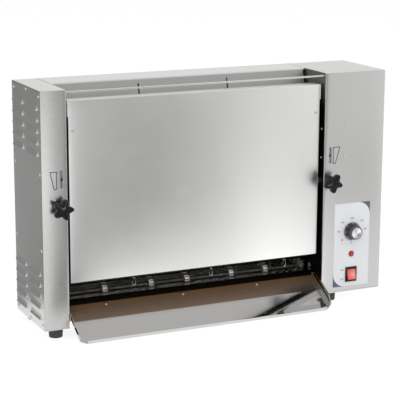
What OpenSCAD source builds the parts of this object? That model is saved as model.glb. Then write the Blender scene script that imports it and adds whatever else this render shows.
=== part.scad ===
/* [Body] */
// Overall width across both housings
body_w = 780; // [700:1:900]
// Depth of the housings, front face to rear face
body_d = 176; // [168:1:220]
// Height of the housings, without the feet
body_h = 485; // [470:1:560]
// Width of the narrow left housing
left_w = 53; // [48:0.5:90]
// Width of the right control housing
right_w = 145.5; // [135:0.5:200]
// Thickness of the stainless sheet
sheet = 1.2; // [0.8:0.1:1.6]
// Thickness of the side covers
cover_t = 1; // [0.8:0.1:1.4]
// Thickness of the base pan
base_t = 1.5; // [1:0.1:2.5]
// Open front of the base pan between the housings, behind the front faces
base_open = 44; // [20:1:44]
// Gap left around a separate piece
fit = 0.3; // [0.2:0.05:0.5]
// Set-back of a side cover from the edges of its opening
cover_margin = 2; // [1.8:0.1:4]
// Width of the flanges that carry the covers
flange_w = 16; // [14:1:22]

/* [Screws] */
// Shank diameter of a screw
screw_d = 3; // [2.5:0.1:4]
// Head diameter of a screw
screw_head_d = 6; // [5:0.1:7.5]
// Head height of a screw
screw_head_h = 1.8; // [1.2:0.1:2.4]
// Shank length of a screw
screw_l = 7; // [5:0.5:8]
// Clearance of a screw hole, all round
screw_fit = 0.1; // [0.05:0.05:0.3]
// Distance of the cover screws from the edges of the side
screw_inset = 10.5; // [9:0.5:13]
// Middle screws of a side cover, from its top and bottom edges
low_screw_h = 5; // [4.5:0.1:8]

/* [Louvres] */
// Rows in one group of louvres
louvre_rows = 5; // [3:1:5]
// Distance from one row to the next
louvre_pitch = 22.8; // [20:0.1:24]
// Length of a louvre
louvre_l = 62; // [40:1:64]
// Height of a louvre
louvre_h = 12; // [8:0.5:15]
// How far a louvre stands out
louvre_out = 3.2; // [2:0.1:4.5]
// Share of that reach at half its height
louvre_knee = 0.25; // [0.2:0.05:0.5]
// Middle of the upper group, below the top edge
louvre_top = 80; // [70:1:110]
// Middle of the lower group, above the bottom edge
louvre_low = 70; // [66:1:105]
// Middle of the front column, behind the front face
louvre_front = 51; // [48:1:54]
// Middle of the rear column, before the rear face
louvre_rear = 37; // [36:1:50]

/* [Feet] */
// Height of a foot
foot_h = 20; // [13:0.5:25]
// Diameter of a foot at the top
foot_d = 30; // [22:0.5:34]
// Diameter of a foot at the floor
foot_low_d = 27.5; // [20:0.5:32]
// Bore of a foot
foot_bore = 4.4; // [4:0.1:6]
// Diameter of the recess for the screw head
foot_recess_d = 11; // [9:0.5:14]
// Depth of the recess for the screw head
foot_recess = 6; // [4:0.5:9]
// Left feet, from the left side
foot_left = 30.5; // [19:0.5:36]
// Right feet, from the inner wall of the right housing
foot_right = 31; // [20:0.5:60]
// Feet from the front and rear faces
foot_inset = 22; // [19:0.5:40]

/* [Front panel] */
// Set-back of the panel behind the front faces
panel_setback = 12; // [11:0.5:20]
// Gap between the panel and the housings
panel_gap = 8; // [6:0.5:12]
// How far the ears stand out at the top of the sides
panel_ear = 2.3; // [1:0.1:4]
// Height of the ears
panel_ear_h = 32; // [20:1:60]
// Top of the panel below the top of the housings
panel_drop = 23.5; // [15:0.5:40]
// Bottom of the panel above the base
panel_low = 90; // [80:1:120]
// Depth of the heater casing behind the panel
casing_d = 26; // [26:0.5:30]
// Panel screws from the side edges
panel_screw_in = 9; // [7:0.5:14]
// Panel screws below the top edge
panel_screw_drop = 61; // [50:1:90]

/* [Heater] */
// Thickness of the heated plate
platen_t = 6; // [4:0.5:7]
// Thickness of the release sheet on the plate
release_t = 0.6; // [0.4:0.1:1]
// Diameter of the heating tubes
heater_d = 7; // [6:0.1:7.2]
// Number of heating hairpins
heater_n = 3; // [2:1:4]
// Distance between the two legs of a hairpin
heater_gap = 52; // [30:1:60]
// Heating tubes stop short of the casing sides
heater_end = 30; // [22:1:60]
// Thickness of the insulation board
board_t = 8; // [5:0.5:8.2]
// Width of a clamp strip over the heating tubes
clamp_w = 16; // [10:1:30]
// Thickness of a clamp strip
clamp_t = 1.5; // [1:0.1:2]
// Length of the temperature bulb
bulb_l = 90; // [60:1:120]
// Diameter of the temperature bulb
bulb_d = 6; // [4:0.1:6.5]

/* [Gap adjustment] */
// Height of the adjusting knobs
knob_h = 251; // [235:1:262]
// Left knob axis from the inner wall
knob_in_left = 16.5; // [14:0.5:18]
// Right knob axis from the inner wall
knob_in_right = 12; // [11:0.5:16]
// Largest diameter of the star knob
knob_d = 43; // [36:0.5:50]
// Diameter of a lobe of the star
knob_lobe_d = 14.4; // [12:0.1:17]
// Thickness of the star
knob_t = 15; // [10:0.5:20]
// Thickness of the star in front of its spindle
knob_face = 5; // [3:0.5:8]
// Overhang of the knob in front of the housing
knob_reach = 30; // [26:0.5:40]
// Number of lobes of the star
knob_lobes = 5; // [5:1:7]
// Turn of the left star at rest, in degrees
knob_turn_left = 18; // [0:1:71]
// Diameter of the boss behind the star
knob_boss_d = 18; // [16:0.5:22]
// Diameter of the spindle
spindle_d = 8; // [6:0.5:10]
// End of the spindle behind the front face
spindle_end = 64; // [62:1:72]
// Diameter of the collar on the spindle
collar_d = 14; // [12:0.5:15]
// Thickness of the collar on the spindle
collar_t = 3; // [2:0.5:4]
// Rim of a spindle bush round its hole
bush_rim = 1.5; // [1:0.1:2.5]
// Thickness of a spindle bush on either face of the wall
bush_lip = 1.2; // [0.8:0.1:1.5]
// Metal of the nut block round the spindle
nut_wall = 4; // [3:0.5:4.5]
// Length of the nut block
nut_l = 24; // [18:0.5:28]
// Depth of the bridge through the wall
bridge_d = 10; // [8:0.5:12]
// Height of the bridge through the wall
bridge_h = 12; // [8:0.5:14]
// Travel of the heater casing to either side
gap_travel = 8; // [4:0.5:8]
// Rise of a pointer for each unit of casing travel
pointer_ratio = 1.75; // [1.2:0.05:1.75]
// Height of the middle of the scale slots
scale_h = 308; // [304:1:330]
// Left scale slot from the inner wall
scale_in_left = 12.5; // [12:0.5:15]
// Right scale slot from the inner wall
scale_in_right = 14.5; // [14:0.5:16]
// Width of a scale slot
scale_w = 7; // [6:0.5:9]
// Length of a scale slot
scale_l = 35; // [33:0.5:42]
// Width of a pointer block
pointer_w = 8; // [7:0.5:9]
// Half height of a pointer block and height of its neck
pointer_tab = 4; // [3:0.5:5]
// Width of the neck that carries a pointer's arrow
pointer_neck = 2; // [1.5:0.1:3]
// Diameter of a pointer pin
pointer_pin_d = 4; // [3:0.1:5]
// Depth of the pointer pin behind the front face
pointer_pin_y = 24; // [23:0.5:28]
// Cam plate of a carriage arm from the inner wall
cam_in = 22; // [22:0.5:26]
// Thickness of a cam plate
cam_t = 2.5; // [2:0.1:4]
// Width of metal around the cam slot
cam_rim = 3; // [2.5:0.1:3.4]
// Right bracket screws on the front face, from the inner wall
bracket_in = 49.5; // [42:0.5:60]
// Upper bracket screws above the base
bracket_high = 365; // [355:1:380]
// Lower bracket screws above the base
bracket_low = 302.5; // [297:0.5:310]
// Bracket screws on the inner wall, behind the front face
bracket_y = 14; // [12:0.5:18]
// Half the width of a bracket leg
bracket_half = 8; // [5:0.5:9]

/* [Conveyor] */
// Radius of the belt wheels
wheel_r = 16; // [14:0.5:18]
// Width of a belt wheel
wheel_w = 11; // [8:0.5:14]
// Number of grooves in a belt wheel
wheel_grooves = 11; // [9:1:12]
// Depth of a groove
groove = 1.2; // [0.5:0.1:2]
// Wide step between belt wheels
wheel_wide = 105; // [90:1:106]
// Narrow step between belt wheels
wheel_narrow = 83; // [70:1:84]
// First and last wheel from the housings
wheel_end = 12.5; // [11.5:0.5:16]
// Second wheel from the left housing
wheel_second = 105; // [95:1:110]
// Diameter of the belt wires
wire_d = 2; // [1.6:0.1:2.4]
// Number of belt wires round the loop
wire_n = 86; // [60:1:100]
// Clearance between the wheels and the belt
belt_fit = 0.5; // [0.4:0.1:1]
// Front face of the belt behind the front faces
belt_y = 68; // [66:0.5:72]
// Belt edges from the housings
belt_end = 5; // [4:0.5:9]
// Width of the link strips of the belt
link_w = 4; // [3:0.5:6]
// Thickness of the link strips of the belt
link_t = 1; // [0.8:0.1:1.4]
// Height of the drive shaft
drive_h = 46; // [44:0.5:52]
// Upper shaft below the top of the housings
idler_drop = 65; // [62:1:90]
// Diameter of the drive shaft
drive_d = 12; // [10:0.5:14]
// Diameter of the upper shaft
idler_d = 10; // [8:0.5:12]
// Running clearance of shafts in their bushes, all round
run_fit = 0.06; // [0.03:0.01:0.1]
// Flange diameter of a bush
bush_d = 30; // [26:0.5:34]
// Flange thickness of a bush
bush_t = 5; // [3:0.5:7]
// Wall of a bush in the housing
bush_wall = 3; // [2:0.5:4]
// Shafts stand out this far past their last piece
shaft_end = 4; // [2:0.5:6]
// Thickness of the plate behind the belt
backing_t = 2; // [1.2:0.1:2.5]
// Clearance of the plate at both shafts
backing_end = 14; // [8:1:30]
// Diameter of the stripper wire
strip_d = 2.5; // [2:0.1:3]
// Height of the stripper wire
strip_h = 70; // [69:0.5:74]
// Length of a stripper hook
strip_l = 17; // [10:0.5:18]
// First stripper hook from the left housing
strip_first = 168; // [120:1:190]
// Distance between stripper hooks
strip_step = 178; // [150:1:190]
// Last stripper hook at least this far from the right housing
strip_last = 30; // [20:1:50]

/* [Drive] */
// Teeth of the wheel on the drive shaft
driven_teeth = 22; // [18:1:24]
// Teeth of the wheel on the motor
motor_teeth = 14; // [12:1:16]
// Pitch of the drive chain
chain_pitch = 6.35; // [6:0.05:7]
// Width of the chain
chain_w = 5; // [4:0.5:6]
// Thickness of the chain
chain_t = 5; // [4:0.5:6]
// Chain wheels from the inner wall
chain_in = 14; // [12:0.5:16]
// Motor shaft behind the front face
motor_y = 116; // [112:1:117]
// Height of the motor shaft
motor_h = 150; // [140:1:165]
// Diameter of the motor
motor_d = 58; // [50:1:64]
// Length of the motor
motor_l = 62; // [50:1:80]
// Size of the gear case
gear_case = 64; // [60:1:70]
// Thickness of the gear case
gear_t = 18; // [12:1:22]
// Diameter of the motor output shaft
output_d = 8; // [6:0.5:10]
// Depth of the output shaft in the gear case
output_in = 8; // [5:0.5:11]
// Thickness of the motor bracket
bracket_t = 2; // [1.5:0.1:3]
// Motor bracket from the chain
bracket_clear = 8; // [7:0.5:12]
// Width of the foot of the motor bracket
bracket_foot = 32; // [20:1:40]

/* [Top and rear] */
// Depth of the rear top rail
rail_d = 82; // [76:0.5:90]
// Height of the sloped guide below the rail
guide_drop = 42; // [30:1:44]
// How far the guide leans forward over its height
guide_lean = 12; // [6:0.5:14]
// Width of the slots in the guide
guide_slot_w = 3; // [2:0.5:5]
// Length of the slots in the guide
guide_slot_l = 22; // [14:1:24]
// Slots in the guide, either side of the middle
guide_slot_x = 101; // [60:1:140]
// Width of the notches at both ends of the guide
guide_notch_w = 5; // [3:0.5:8]
// Diameter of the guide rod
rod_d = 4; // [3:0.1:5]
// Guide rod behind the front faces
guide_rod_y = 8; // [6:0.5:10]
// Guide rod and stripper wire stand in the housings by this much
rod_in = 4.8; // [3:0.1:8]
// Guide rod below the top of the housings
rod_drop = 6; // [5:0.5:9]
// Number of vent slots in the rear cover
vent_n = 14; // [8:1:16]
// Length of a vent slot
vent_l = 60; // [30:1:80]
// Width of a vent slot
vent_w = 5; // [3:0.5:8]
// Middle of the lower vents above the base
vent_low = 121; // [70:1:150]
// Middle of the upper vents below the top
vent_high = 121; // [70:1:150]

/* [Landing tray] */
// Reach of the tray in front of the housings
tray_reach = 57; // [50:1:80]
// Slope of the tray
tray_slope = 30.5; // [28:0.5:32]
// Rear edge of the tray behind the front faces
tray_rear = 38; // [34:0.5:40]
// Height of the tray lip
lip_h = 8.5; // [6:0.5:12]
// Height of the tray side walls
tray_wall_h = 9; // [6:0.5:12]
// Length of the cut corners across the tray
tray_cut_w = 13; // [8:0.5:24]
// Length of the cut corners along the tray
tray_cut_l = 9; // [5:0.5:14]
// Clearance of the tray over the table
tray_clear = 0.7; // [0.5:0.1:2]
// Gap from the tray to the housings
tray_gap = 4.5; // [4:0.5:7]
// Distance between tray screws
tray_screw_step = 174; // [90:1:180]
// First tray screw from the left edge
tray_screw_first = 86; // [60:1:110]
// Last tray screw at least this far from the right edge
tray_screw_last = 40; // [30:1:60]
// Tray screws from the rear edge
tray_screw_in = 7; // [6:0.5:9]
// Upper end of the chute behind the front faces
chute_end = 54; // [50:0.5:58]
// Upright of the chute behind the front faces
chute_leg = 47; // [44:0.5:49]
// Height of a side rail over the tray
rail_h = 16; // [14:0.5:24]
// Thickness of a side rail
rail_t = 2.5; // [2:0.1:3.5]
// Upper end of the side rails behind the front faces
rail_end = 60; // [50:1:61]
// Right side rail ends this far in front of the housing
rail_front = 42; // [30:1:52]
// Left side rail starts this far behind the front face
rail_left_start = 3; // [2:0.5:10]
// Length of the slanted front end of the right side rail
rail_nose = 18; // [10:0.5:30]
// Height of the blunt tip of the right side rail
rail_tip = 6; // [3:0.5:8]

/* [Controls] */
// Width of the control label
label_w = 88.5; // [70:0.5:110]
// Height of the control label
label_h = 186.5; // [170:0.5:200]
// Label above the base
label_low = 12; // [6:0.5:20]
// Thickness of the label
label_t = 0.6; // [0.4:0.1:1]
// Height of the thermostat axis
dial_h = 135.5; // [130:0.5:150]
// Diameter of the dial skirt
dial_d = 39; // [34:0.5:44]
// Thickness of the dial skirt
dial_skirt = 3; // [2:0.5:5]
// Diameter of the dial grip
dial_grip_d = 29; // [24:0.5:31]
// Length of the dial with its skirt
dial_l = 20; // [15:0.5:25]
// Number of flutes on the dial grip
dial_flutes = 18; // [12:1:24]
// Diameter of a flute
flute_d = 2.5; // [1.5:0.1:3]
// Diameter of the dial cap
dial_cap_d = 24; // [18:0.5:25]
// Thickness of the dial cap
dial_cap_t = 1; // [0.6:0.1:2]
// Diameter of the thermostat shaft
dial_shaft_d = 6; // [5:0.5:8]
// Depth of the thermostat shaft in the dial
dial_shaft_in = 12; // [8:0.5:14]
// Depth of the thermostat shaft in its body
stat_shaft_in = 14; // [8:0.5:18]
// Clearance of the front wall round the thermostat shaft
shaft_gap = 1.2; // [0.8:0.1:2]
// Width of the thermostat body
stat_w = 38; // [30:1:42]
// Depth of the thermostat body
stat_d = 28; // [20:1:36]
// Height of the pilot lamp
lamp_h = 84.5; // [78:0.5:90]
// Diameter of the pilot lens
lamp_d = 12.5; // [9:0.5:16]
// How far the pilot lens stands out
lamp_out = 4; // [2:0.5:7]
// Diameter of the pilot body
lamp_body_d = 9; // [7:0.5:9]
// Depth of the pilot body
lamp_body_l = 26; // [18:1:32]
// Height of the rocker switch
switch_h = 38.5; // [34:0.5:44]
// Width of the switch bezel
bezel_w = 28; // [24:0.5:31]
// Height of the switch bezel
bezel_h = 33; // [30:0.5:36]
// Thickness of the switch bezel
bezel_t = 2; // [1.5:0.1:3]
// Width of the rim of the switch bezel
bezel_rim = 3; // [2.5:0.1:4]
// Depth of the switch body
switch_d = 24; // [20:1:30]
// Height of the rocker's ends over its pin
rocker_end = 5; // [4:0.1:7]
// Height of the rocker's middle over its pin
rocker_dip = 3.2; // [2.5:0.1:3.9]
// Depth of the rocker behind its pin
rocker_depth = 6.7; // [5:0.1:7]
// Rocker pin behind the face of the label
rocker_seat = 1; // [0.5:0.1:1.5]
// Play of the rocker and the pointers in their openings
play = 1; // [0.8:0.1:1.5]
// Wall of the switch body
switch_wall = 1.2; // [1:0.1:2]
// Tilt of the rocker to either side
rocker_tilt = 9; // [6:0.5:10]
// Diameter of the rocker pin
rocker_pin_d = 3; // [2:0.1:4]

/* [Supply] */
// Hexagon of the cable gland
gland_d = 22; // [18:0.5:26]
// How far the gland stands out behind
gland_out = 16; // [12:0.5:24]
// Length of the wide part of the gland
gland_nut = 8; // [5:0.5:11]
// Bore of the gland
gland_bore = 9; // [7:0.5:11]
// Gland from the right side
gland_in = 40; // [25:1:60]
// Height of the gland
gland_h = 42; // [30:1:60]
// Length of the terminal block
term_w = 52; // [40:1:60]
// Width of the terminal block
term_d = 18; // [14:1:24]
// Height of the terminal block
term_h = 16; // [12:1:24]
// Poles of the terminal block
term_n = 5; // [3:1:6]
// Diameter of a hole in the terminal block
term_bore = 5; // [3:0.5:6]
// Depth of a hole in the terminal block
term_hole = 8; // [5:0.5:11]

/* [Hidden] */
$fn = 48;
// A cut runs past a face by this much
over = 1;
steel = [0.74, 0.74, 0.73];
dark = [0.12, 0.12, 0.12];
black = [0.06, 0.06, 0.06];

// Sides of the housings, and the middle of the space between them
x_left = -body_w / 2;
x_left_in = x_left + left_w;
x_right_in = body_w / 2 - right_w;
x_right = body_w / 2;
x_mid = (x_left_in + x_right_in) / 2;
inner_w = x_right_in - x_left_in;

// Front faces in the frame, whose origin is the middle of the bottom
front_y = tray_reach - (tray_reach + body_d + gland_out) / 2;

// Front panel and heater casing
panel_w = inner_w - 2 * panel_gap;
panel_top = body_h - panel_drop;
panel_h = panel_top - panel_low;
casing_y = panel_setback + casing_d;
platen_y = casing_y - platen_t - fit;
heater_y = platen_y - fit - heater_d / 2;
clamp_y = heater_y - heater_d / 2 - fit - clamp_t;
heater_step = (panel_h - 2 * sheet) / heater_n;

// Conveyor: the belt runs on one radius round both shafts
belt_r = wheel_r + belt_fit + wire_d / 2;
shaft_y = belt_y + wire_d / 2 + belt_r;
idler_h = body_h - idler_drop;
belt_run = idler_h - drive_h;
belt_loop = 2 * belt_run + 2 * PI * belt_r;
wheel_last_x = x_right_in - wheel_end;
wheel_pair = wheel_wide + wheel_narrow;
wheel_inner = [for (x = [x_left_in + wheel_second:wheel_pair:wheel_last_x], step = [0, wheel_wide])
    if (x + step < wheel_last_x - 2 * wheel_w) x + step];
wheel_x = concat([x_left_in + wheel_end], wheel_inner, [wheel_last_x]);
hook_x = [x_left_in + strip_first:strip_step:x_right_in - strip_last];

// Chain drive in the right housing
driven_r = driven_teeth * chain_pitch / (2 * PI);
motor_r = motor_teeth * chain_pitch / (2 * PI);
bracket_x = x_right_in + chain_in + chain_w + bracket_clear;

// Rear edge of the top rail's front and the foot of the sloped guide
rail_front_y = body_d - rail_d;
guide_low = body_h - guide_drop;
guide_foot_y = rail_front_y - guide_lean;

// Landing tray, drawn flat and then sloped about its front bottom edge
tray_w = inner_w - 2 * tray_gap;
tray_front = -tray_reach + lip_h * sin(tray_slope);
tray_front_h = tray_clear - foot_h;
tray_l = (tray_rear - tray_front) / cos(tray_slope);
tray_screw_x = [tray_screw_first:tray_screw_step:tray_w - tray_screw_last];

// Controls stand on the middle line of the right housing
control_x = (x_right_in + x_right) / 2;
dial_back = -label_t - 2 * fit;
rocker_w = bezel_w - 2 * bezel_rim;
rocker_h = bezel_h - 2 * bezel_rim;
switch_half = [rocker_w / 2 + switch_wall, rocker_h / 2 + switch_wall];

// Gap adjustment, measured from each inner wall into its housing
pointer_travel = gap_travel * pointer_ratio;
cam_slot_r = pointer_pin_d / 2 + fit;
pointer_guide_y = pointer_pin_y - pointer_pin_d;
nut_half = spindle_d / 2 + nut_wall;
bridge_y = panel_setback + casing_d / 2;
cover_screw_h = [for (i = [0:3]) screw_inset + i * (body_h - 2 * screw_inset - cover_margin) / 3];
rear_screw_x = [for (i = [-1:1]) x_mid + i * inner_w / 3];
rear_screw_h = [base_t + flange_w / 2, body_h - flange_w / 2];
strip_y = belt_y - wire_d - strip_d / 2;

// Stands a piece on the feet, behind the front faces
module place() {
    translate([0, front_y, foot_h]) children();
}

// Box from its lowest to its highest corner
module box(low, high) {
    translate(low) cube(high - low);
}

// Cylinders along the three axes
module rod_x(x0, x1, y, z, d) {
    translate([x0, y, z]) rotate([0, 90, 0]) cylinder(d = d, h = x1 - x0);
}

module rod_y(x, y0, y1, z, d) {
    translate([x, y0, z]) rotate([-90, 0, 0]) cylinder(d = d, h = y1 - y0);
}

// Screw with its head on the plane x = 0, pointing along +X
module screw() {
    rod_x(-screw_head_h, 0, 0, 0, screw_head_d);
    rod_x(-screw_head_h / 2, screw_l, 0, 0, screw_d);
}

module screw_hole(l) {
    rod_x(-l, l, 0, 0, screw_d + 2 * screw_fit);
}

// Draws the right-hand form of a piece on either side: side is -1 or 1
module into_housing(side) {
    wall = side < 0 ? x_left_in : x_right_in;
    translate([wall, 0, 0]) scale_side(side) children();
}

module scale_side(side) {
    if (side < 0)
        mirror([1, 0, 0]) children();
    else
        children();
}

// Places of the screws of a side cover, on the plane of the side
module at_cover_screws() {
    for (h = cover_screw_h, y = [screw_inset, body_d - screw_inset])
        translate([0, y, h]) children();
    for (h = [low_screw_h, body_h - cover_margin - low_screw_h])
        translate([0, body_d / 2, h]) children();
}

// Sheet housing open at the outer side and at the bottom, for the right-hand side:
// x runs from the inner wall outwards, and w is the width
module housing(w, knob_in, scale_in) {
    side = w - cover_t;
    difference() {
        union() {
            difference() {
                box([0, 0, base_t], [w, body_d, body_h]);
                box([sheet, sheet, base_t - over], [w + over, body_d - sheet, body_h - sheet]);
            }
            for (y = [sheet, body_d - sheet - flange_w])
                box([side - sheet, y, base_t], [side, y + flange_w, body_h - sheet]);
            box([side - sheet, sheet, body_h - sheet - flange_w], [side, body_d - sheet, body_h - sheet]);
        }
        translate([w, 0, 0]) at_cover_screws() screw_hole(screw_l);
        box([scale_in - scale_w / 2, -over, scale_h - scale_l / 2],
            [scale_in + scale_w / 2, sheet + over, scale_h + scale_l / 2]);
        rod_y(knob_in, -over, sheet + over, knob_h, spindle_d + 2 * bush_wall + 2 * screw_fit);
        box([-over, bridge_y - bridge_d / 2 - gap_travel - play, knob_h - bridge_h / 2 - play],
            [sheet + over, bridge_y + bridge_d / 2 + gap_travel + play, knob_h + bridge_h / 2 + play]);
        rod_x(-over, sheet + over, shaft_y, drive_h, drive_d + 2 * bush_wall + 2 * screw_fit);
        rod_x(-over, sheet + over, shaft_y, idler_h, idler_d + 2 * bush_wall + 2 * screw_fit);
        rod_x(-over, sheet + over, guide_rod_y, body_h - rod_drop, rod_d + 2 * screw_fit);
        rod_x(-over, sheet + over, strip_y, strip_h, strip_d + 2 * screw_fit);
    }
}

module left_housing() {
    color(steel) place() into_housing(-1) housing(left_w, knob_in_left, scale_in_left);
}

module right_housing() {
    color(steel) place() into_housing(1) difference() {
        housing(right_w, knob_in_right, scale_in_right);
        translate([right_w / 2, 0, 0]) control_cuts(sheet);
        rod_y(right_w - gland_in, body_d - sheet - over, body_d + over, gland_h,
            gland_d - 2 * bush_wall + 2 * screw_fit);
        at_bracket_screws() screw_hole(screw_l);
    }
}

// Openings for the controls through a wall of the given depth
module control_cuts(depth) {
    rod_y(0, -over, depth + over, dial_h, dial_shaft_d + 2 * shaft_gap);
    rod_y(0, -over, depth + over, lamp_h, lamp_body_d + 2 * screw_fit);
    box([-switch_half[0] - fit, -over, switch_h - switch_half[1] - fit],
        [switch_half[0] + fit, depth + over, switch_h + switch_half[1] + fit]);
}

// Two bracket screws on the front face and two on the inner wall of the right housing
module at_bracket_screws() {
    for (h = [bracket_low, bracket_high]) {
        translate([bracket_in, 0, h]) rotate(90) children();
        translate([0, bracket_y, h]) children();
    }
}

// Pressed louvre, flush at its top edge and open below
module louvre(out) {
    translate([0, -louvre_l / 2, 0]) rotate([-90, 0, 0]) linear_extrude(louvre_l)
        polygon([[0, -louvre_h / 2], [louvre_knee * out, 0], [out, louvre_h / 2 - cover_t],
            [out, louvre_h / 2], [0, louvre_h / 2]]);
}

module louvre_cut(out) {
    l = louvre_l - 2 * cover_t;
    translate([-cover_t, -l / 2, 0]) rotate([-90, 0, 0]) linear_extrude(l)
        polygon([[-over, 0], [louvre_knee * out, 0], [out, louvre_h / 2 - cover_t],
            [out, louvre_h / 2 + fit], [cover_t, louvre_h / 2 + fit], [cover_t, louvre_h / 2],
            [-over, louvre_h / 2]]);
}

module at_louvres() {
    for (y = [louvre_front, body_d - louvre_rear], h = [body_h - louvre_top, louvre_low],
            i = [0:louvre_rows - 1])
        translate([0, y, h + (i - (louvre_rows - 1) / 2) * louvre_pitch]) children();
}

// Side cover for the right-hand side, with its outer face on x = 0
module side_cover() {
    difference() {
        union() {
            box([-cover_t, cover_margin, 0], [0, body_d - cover_margin, body_h - cover_margin]);
            at_louvres() louvre(louvre_out);
        }
        at_louvres() louvre_cut(louvre_out);
        at_cover_screws() screw_hole(screw_l);
    }
}

module left_side_cover() {
    color(steel) place() translate([x_left, 0, 0]) mirror([1, 0, 0]) side_cover();
}

module right_side_cover() {
    color(steel) place() translate([x_right, 0, 0]) side_cover();
}

module cover_screws() {
    color(steel) place() {
        translate([x_left, 0, 0]) at_cover_screws() screw();
        translate([x_right, 0, 0]) at_cover_screws() mirror([1, 0, 0]) screw();
    }
}

// Base pan under both housings, open at the front between them, with edges turned up for the covers
module base_pan() {
    side = body_w / 2 - cover_t;
    front = sheet + flange_w + play;
    color(steel) place() difference() {
        union() {
            box([-side, 0, 0], [side, body_d, base_t]);
            for (x = [-side, side - base_t])
                box([x, front, 0], [x + base_t, body_d - front, flange_w]);
            box([x_left_in + play, body_d - sheet - fit - base_t, 0],
                [x_right_in - play, body_d - sheet - fit, flange_w]);
        }
        box([x_left_in, -over, -over], [x_right_in, base_open, base_t + over]);
        at_feet() translate([0, 0, -over]) cylinder(d = screw_d + 2 * screw_fit, h = base_t + 2 * over);
        for (x = [x_left, x_right])
            translate([x, body_d / 2, low_screw_h]) screw_hole(screw_l);
        at_rear_screws() screw_hole(screw_l);
    }
}

// Screws of the rear cover, pointing forward
module at_rear_screws() {
    for (x = rear_screw_x, h = rear_screw_h)
        translate([x, body_d, h]) rotate(-90) children();
}

module rear_cover_screws() {
    color(steel) place() at_rear_screws() screw();
}

// Rear cover between the housings, with a row of vents high and low
module rear_cover() {
    step = inner_w / (vent_n + 1);
    color(steel) place() difference() {
        box([x_left_in + fit, body_d - sheet, base_t + fit], [x_right_in - fit, body_d, body_h]);
        at_rear_screws() screw_hole(screw_l);
        for (i = [1:vent_n], h = [vent_low, body_h - vent_high])
            box([x_left_in + i * step - vent_w / 2, body_d - sheet - over, h - vent_l / 2],
                [x_left_in + i * step + vent_w / 2, body_d + over, h + vent_l / 2]);
    }
}

// Top rail and sloped guide, one bent sheet
module rear_guide() {
    rear = body_d - sheet - fit;
    color(steel) place() difference() {
        translate([x_left_in + fit, 0, 0]) rotate([90, 0, 90]) linear_extrude(inner_w - 2 * fit)
            polygon([[rail_front_y, body_h], [rear, body_h], [rear, body_h - flange_w],
                [rear - sheet, body_h - flange_w], [rear - sheet, body_h - sheet],
                [rail_front_y + sheet, body_h - sheet], [guide_foot_y + sheet, guide_low],
                [guide_foot_y, guide_low]]);
        at_rear_screws() screw_hole(screw_l);
        for (x = [x_mid - guide_slot_x, x_mid + guide_slot_x])
            box([x - guide_slot_w / 2, guide_foot_y - over, body_h - guide_drop / 2 - guide_slot_l / 2],
                [x + guide_slot_w / 2, rail_front_y + 2 * over,
                body_h - guide_drop / 2 + guide_slot_l / 2]);
        for (x = [x_left_in, x_right_in - fit - guide_notch_w])
            box([x, guide_foot_y - over, guide_low - over],
                [x + fit + guide_notch_w, rail_front_y + sheet + over, body_h - 2 * sheet]);
    }
}

module guide_rod() {
    color(steel) place() rod_x(x_left_in - rod_in, x_right_in + rod_in, guide_rod_y,
        body_h - rod_drop, rod_d);
}

// Takes a piece drawn on the flat tray to its slope
module on_tray() {
    translate([x_left_in + tray_gap, tray_front, tray_front_h]) rotate([tray_slope, 0, 0]) children();
}

module at_tray_screws() {
    for (x = tray_screw_x)
        on_tray() translate([x, tray_l - tray_screw_in, sheet]) rotate([0, 90, 0]) children();
}

// Sloped tray with low walls, a front lip and cut front corners
module landing_tray() {
    color(steel) place() difference() {
        on_tray() {
            linear_extrude(sheet) polygon([[tray_cut_w, 0], [tray_w - tray_cut_w, 0],
                [tray_w, tray_cut_l], [tray_w, tray_l], [0, tray_l], [0, tray_cut_l]]);
            box([tray_cut_w, 0, 0], [tray_w - tray_cut_w, sheet, lip_h]);
            for (x = [0, tray_w - sheet])
                box([x, tray_cut_l, 0], [x + sheet, tray_l, tray_wall_h]);
        }
        at_tray_screws() screw_hole(screw_l);
    }
}

module tray_screws() {
    color(steel) place() at_tray_screws() screw();
}

// Chute behind the tray, on an upright that stands on the base pan
module chute_bracket() {
    chute_l = (chute_end - tray_front) / cos(tray_slope);
    leg_h = tray_front_h + (chute_leg - tray_front) * tan(tray_slope) - sheet * sin(tray_slope);
    color(dark) place() difference() {
        union() {
            on_tray() box([0, tray_l - 2 * tray_screw_in, -sheet], [tray_w, chute_l, 0]);
            box([x_left_in + tray_gap, chute_leg, base_t],
                [x_right_in - tray_gap, chute_leg + sheet, leg_h]);
            box([x_left_in + tray_gap, chute_leg, base_t],
                [x_right_in - tray_gap, chute_leg + flange_w, base_t + sheet]);
        }
        at_tray_screws() screw_hole(screw_l);
    }
}

// Sloped bars on the inner walls, beside the tray: the right one reaches out in front
module tray_rails() {
    rail_u = function (y) (y - tray_front) / cos(tray_slope);
    front = rail_u(-rail_front);
    end = rail_u(rail_end);
    color(steel) place() {
        translate([-tray_gap, 0, 0]) on_tray()
            box([0, rail_u(rail_left_start), 0], [rail_t, end, rail_h]);
        translate([tray_gap - rail_t, 0, 0]) on_tray() translate([tray_w, 0, 0])
            rotate([90, 0, 90]) linear_extrude(rail_t)
            polygon([[front, 0], [end, 0], [end, rail_h], [front + rail_nose, rail_h], [front, rail_tip]]);
    }
}

module at_feet() {
    for (x = [x_left + foot_left, x_right_in + foot_right], y = [foot_inset, body_d - foot_inset])
        translate([x, y, 0]) children();
}

module feet() {
    color(black) place() at_feet() difference() {
        translate([0, 0, -foot_h]) cylinder(d1 = foot_low_d, d2 = foot_d, h = foot_h);
        translate([0, 0, -foot_h - over]) cylinder(d = foot_bore, h = foot_h + 2 * over);
        translate([0, 0, -foot_h - over]) cylinder(d = foot_recess_d, h = foot_recess + over);
    }
}

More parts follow.
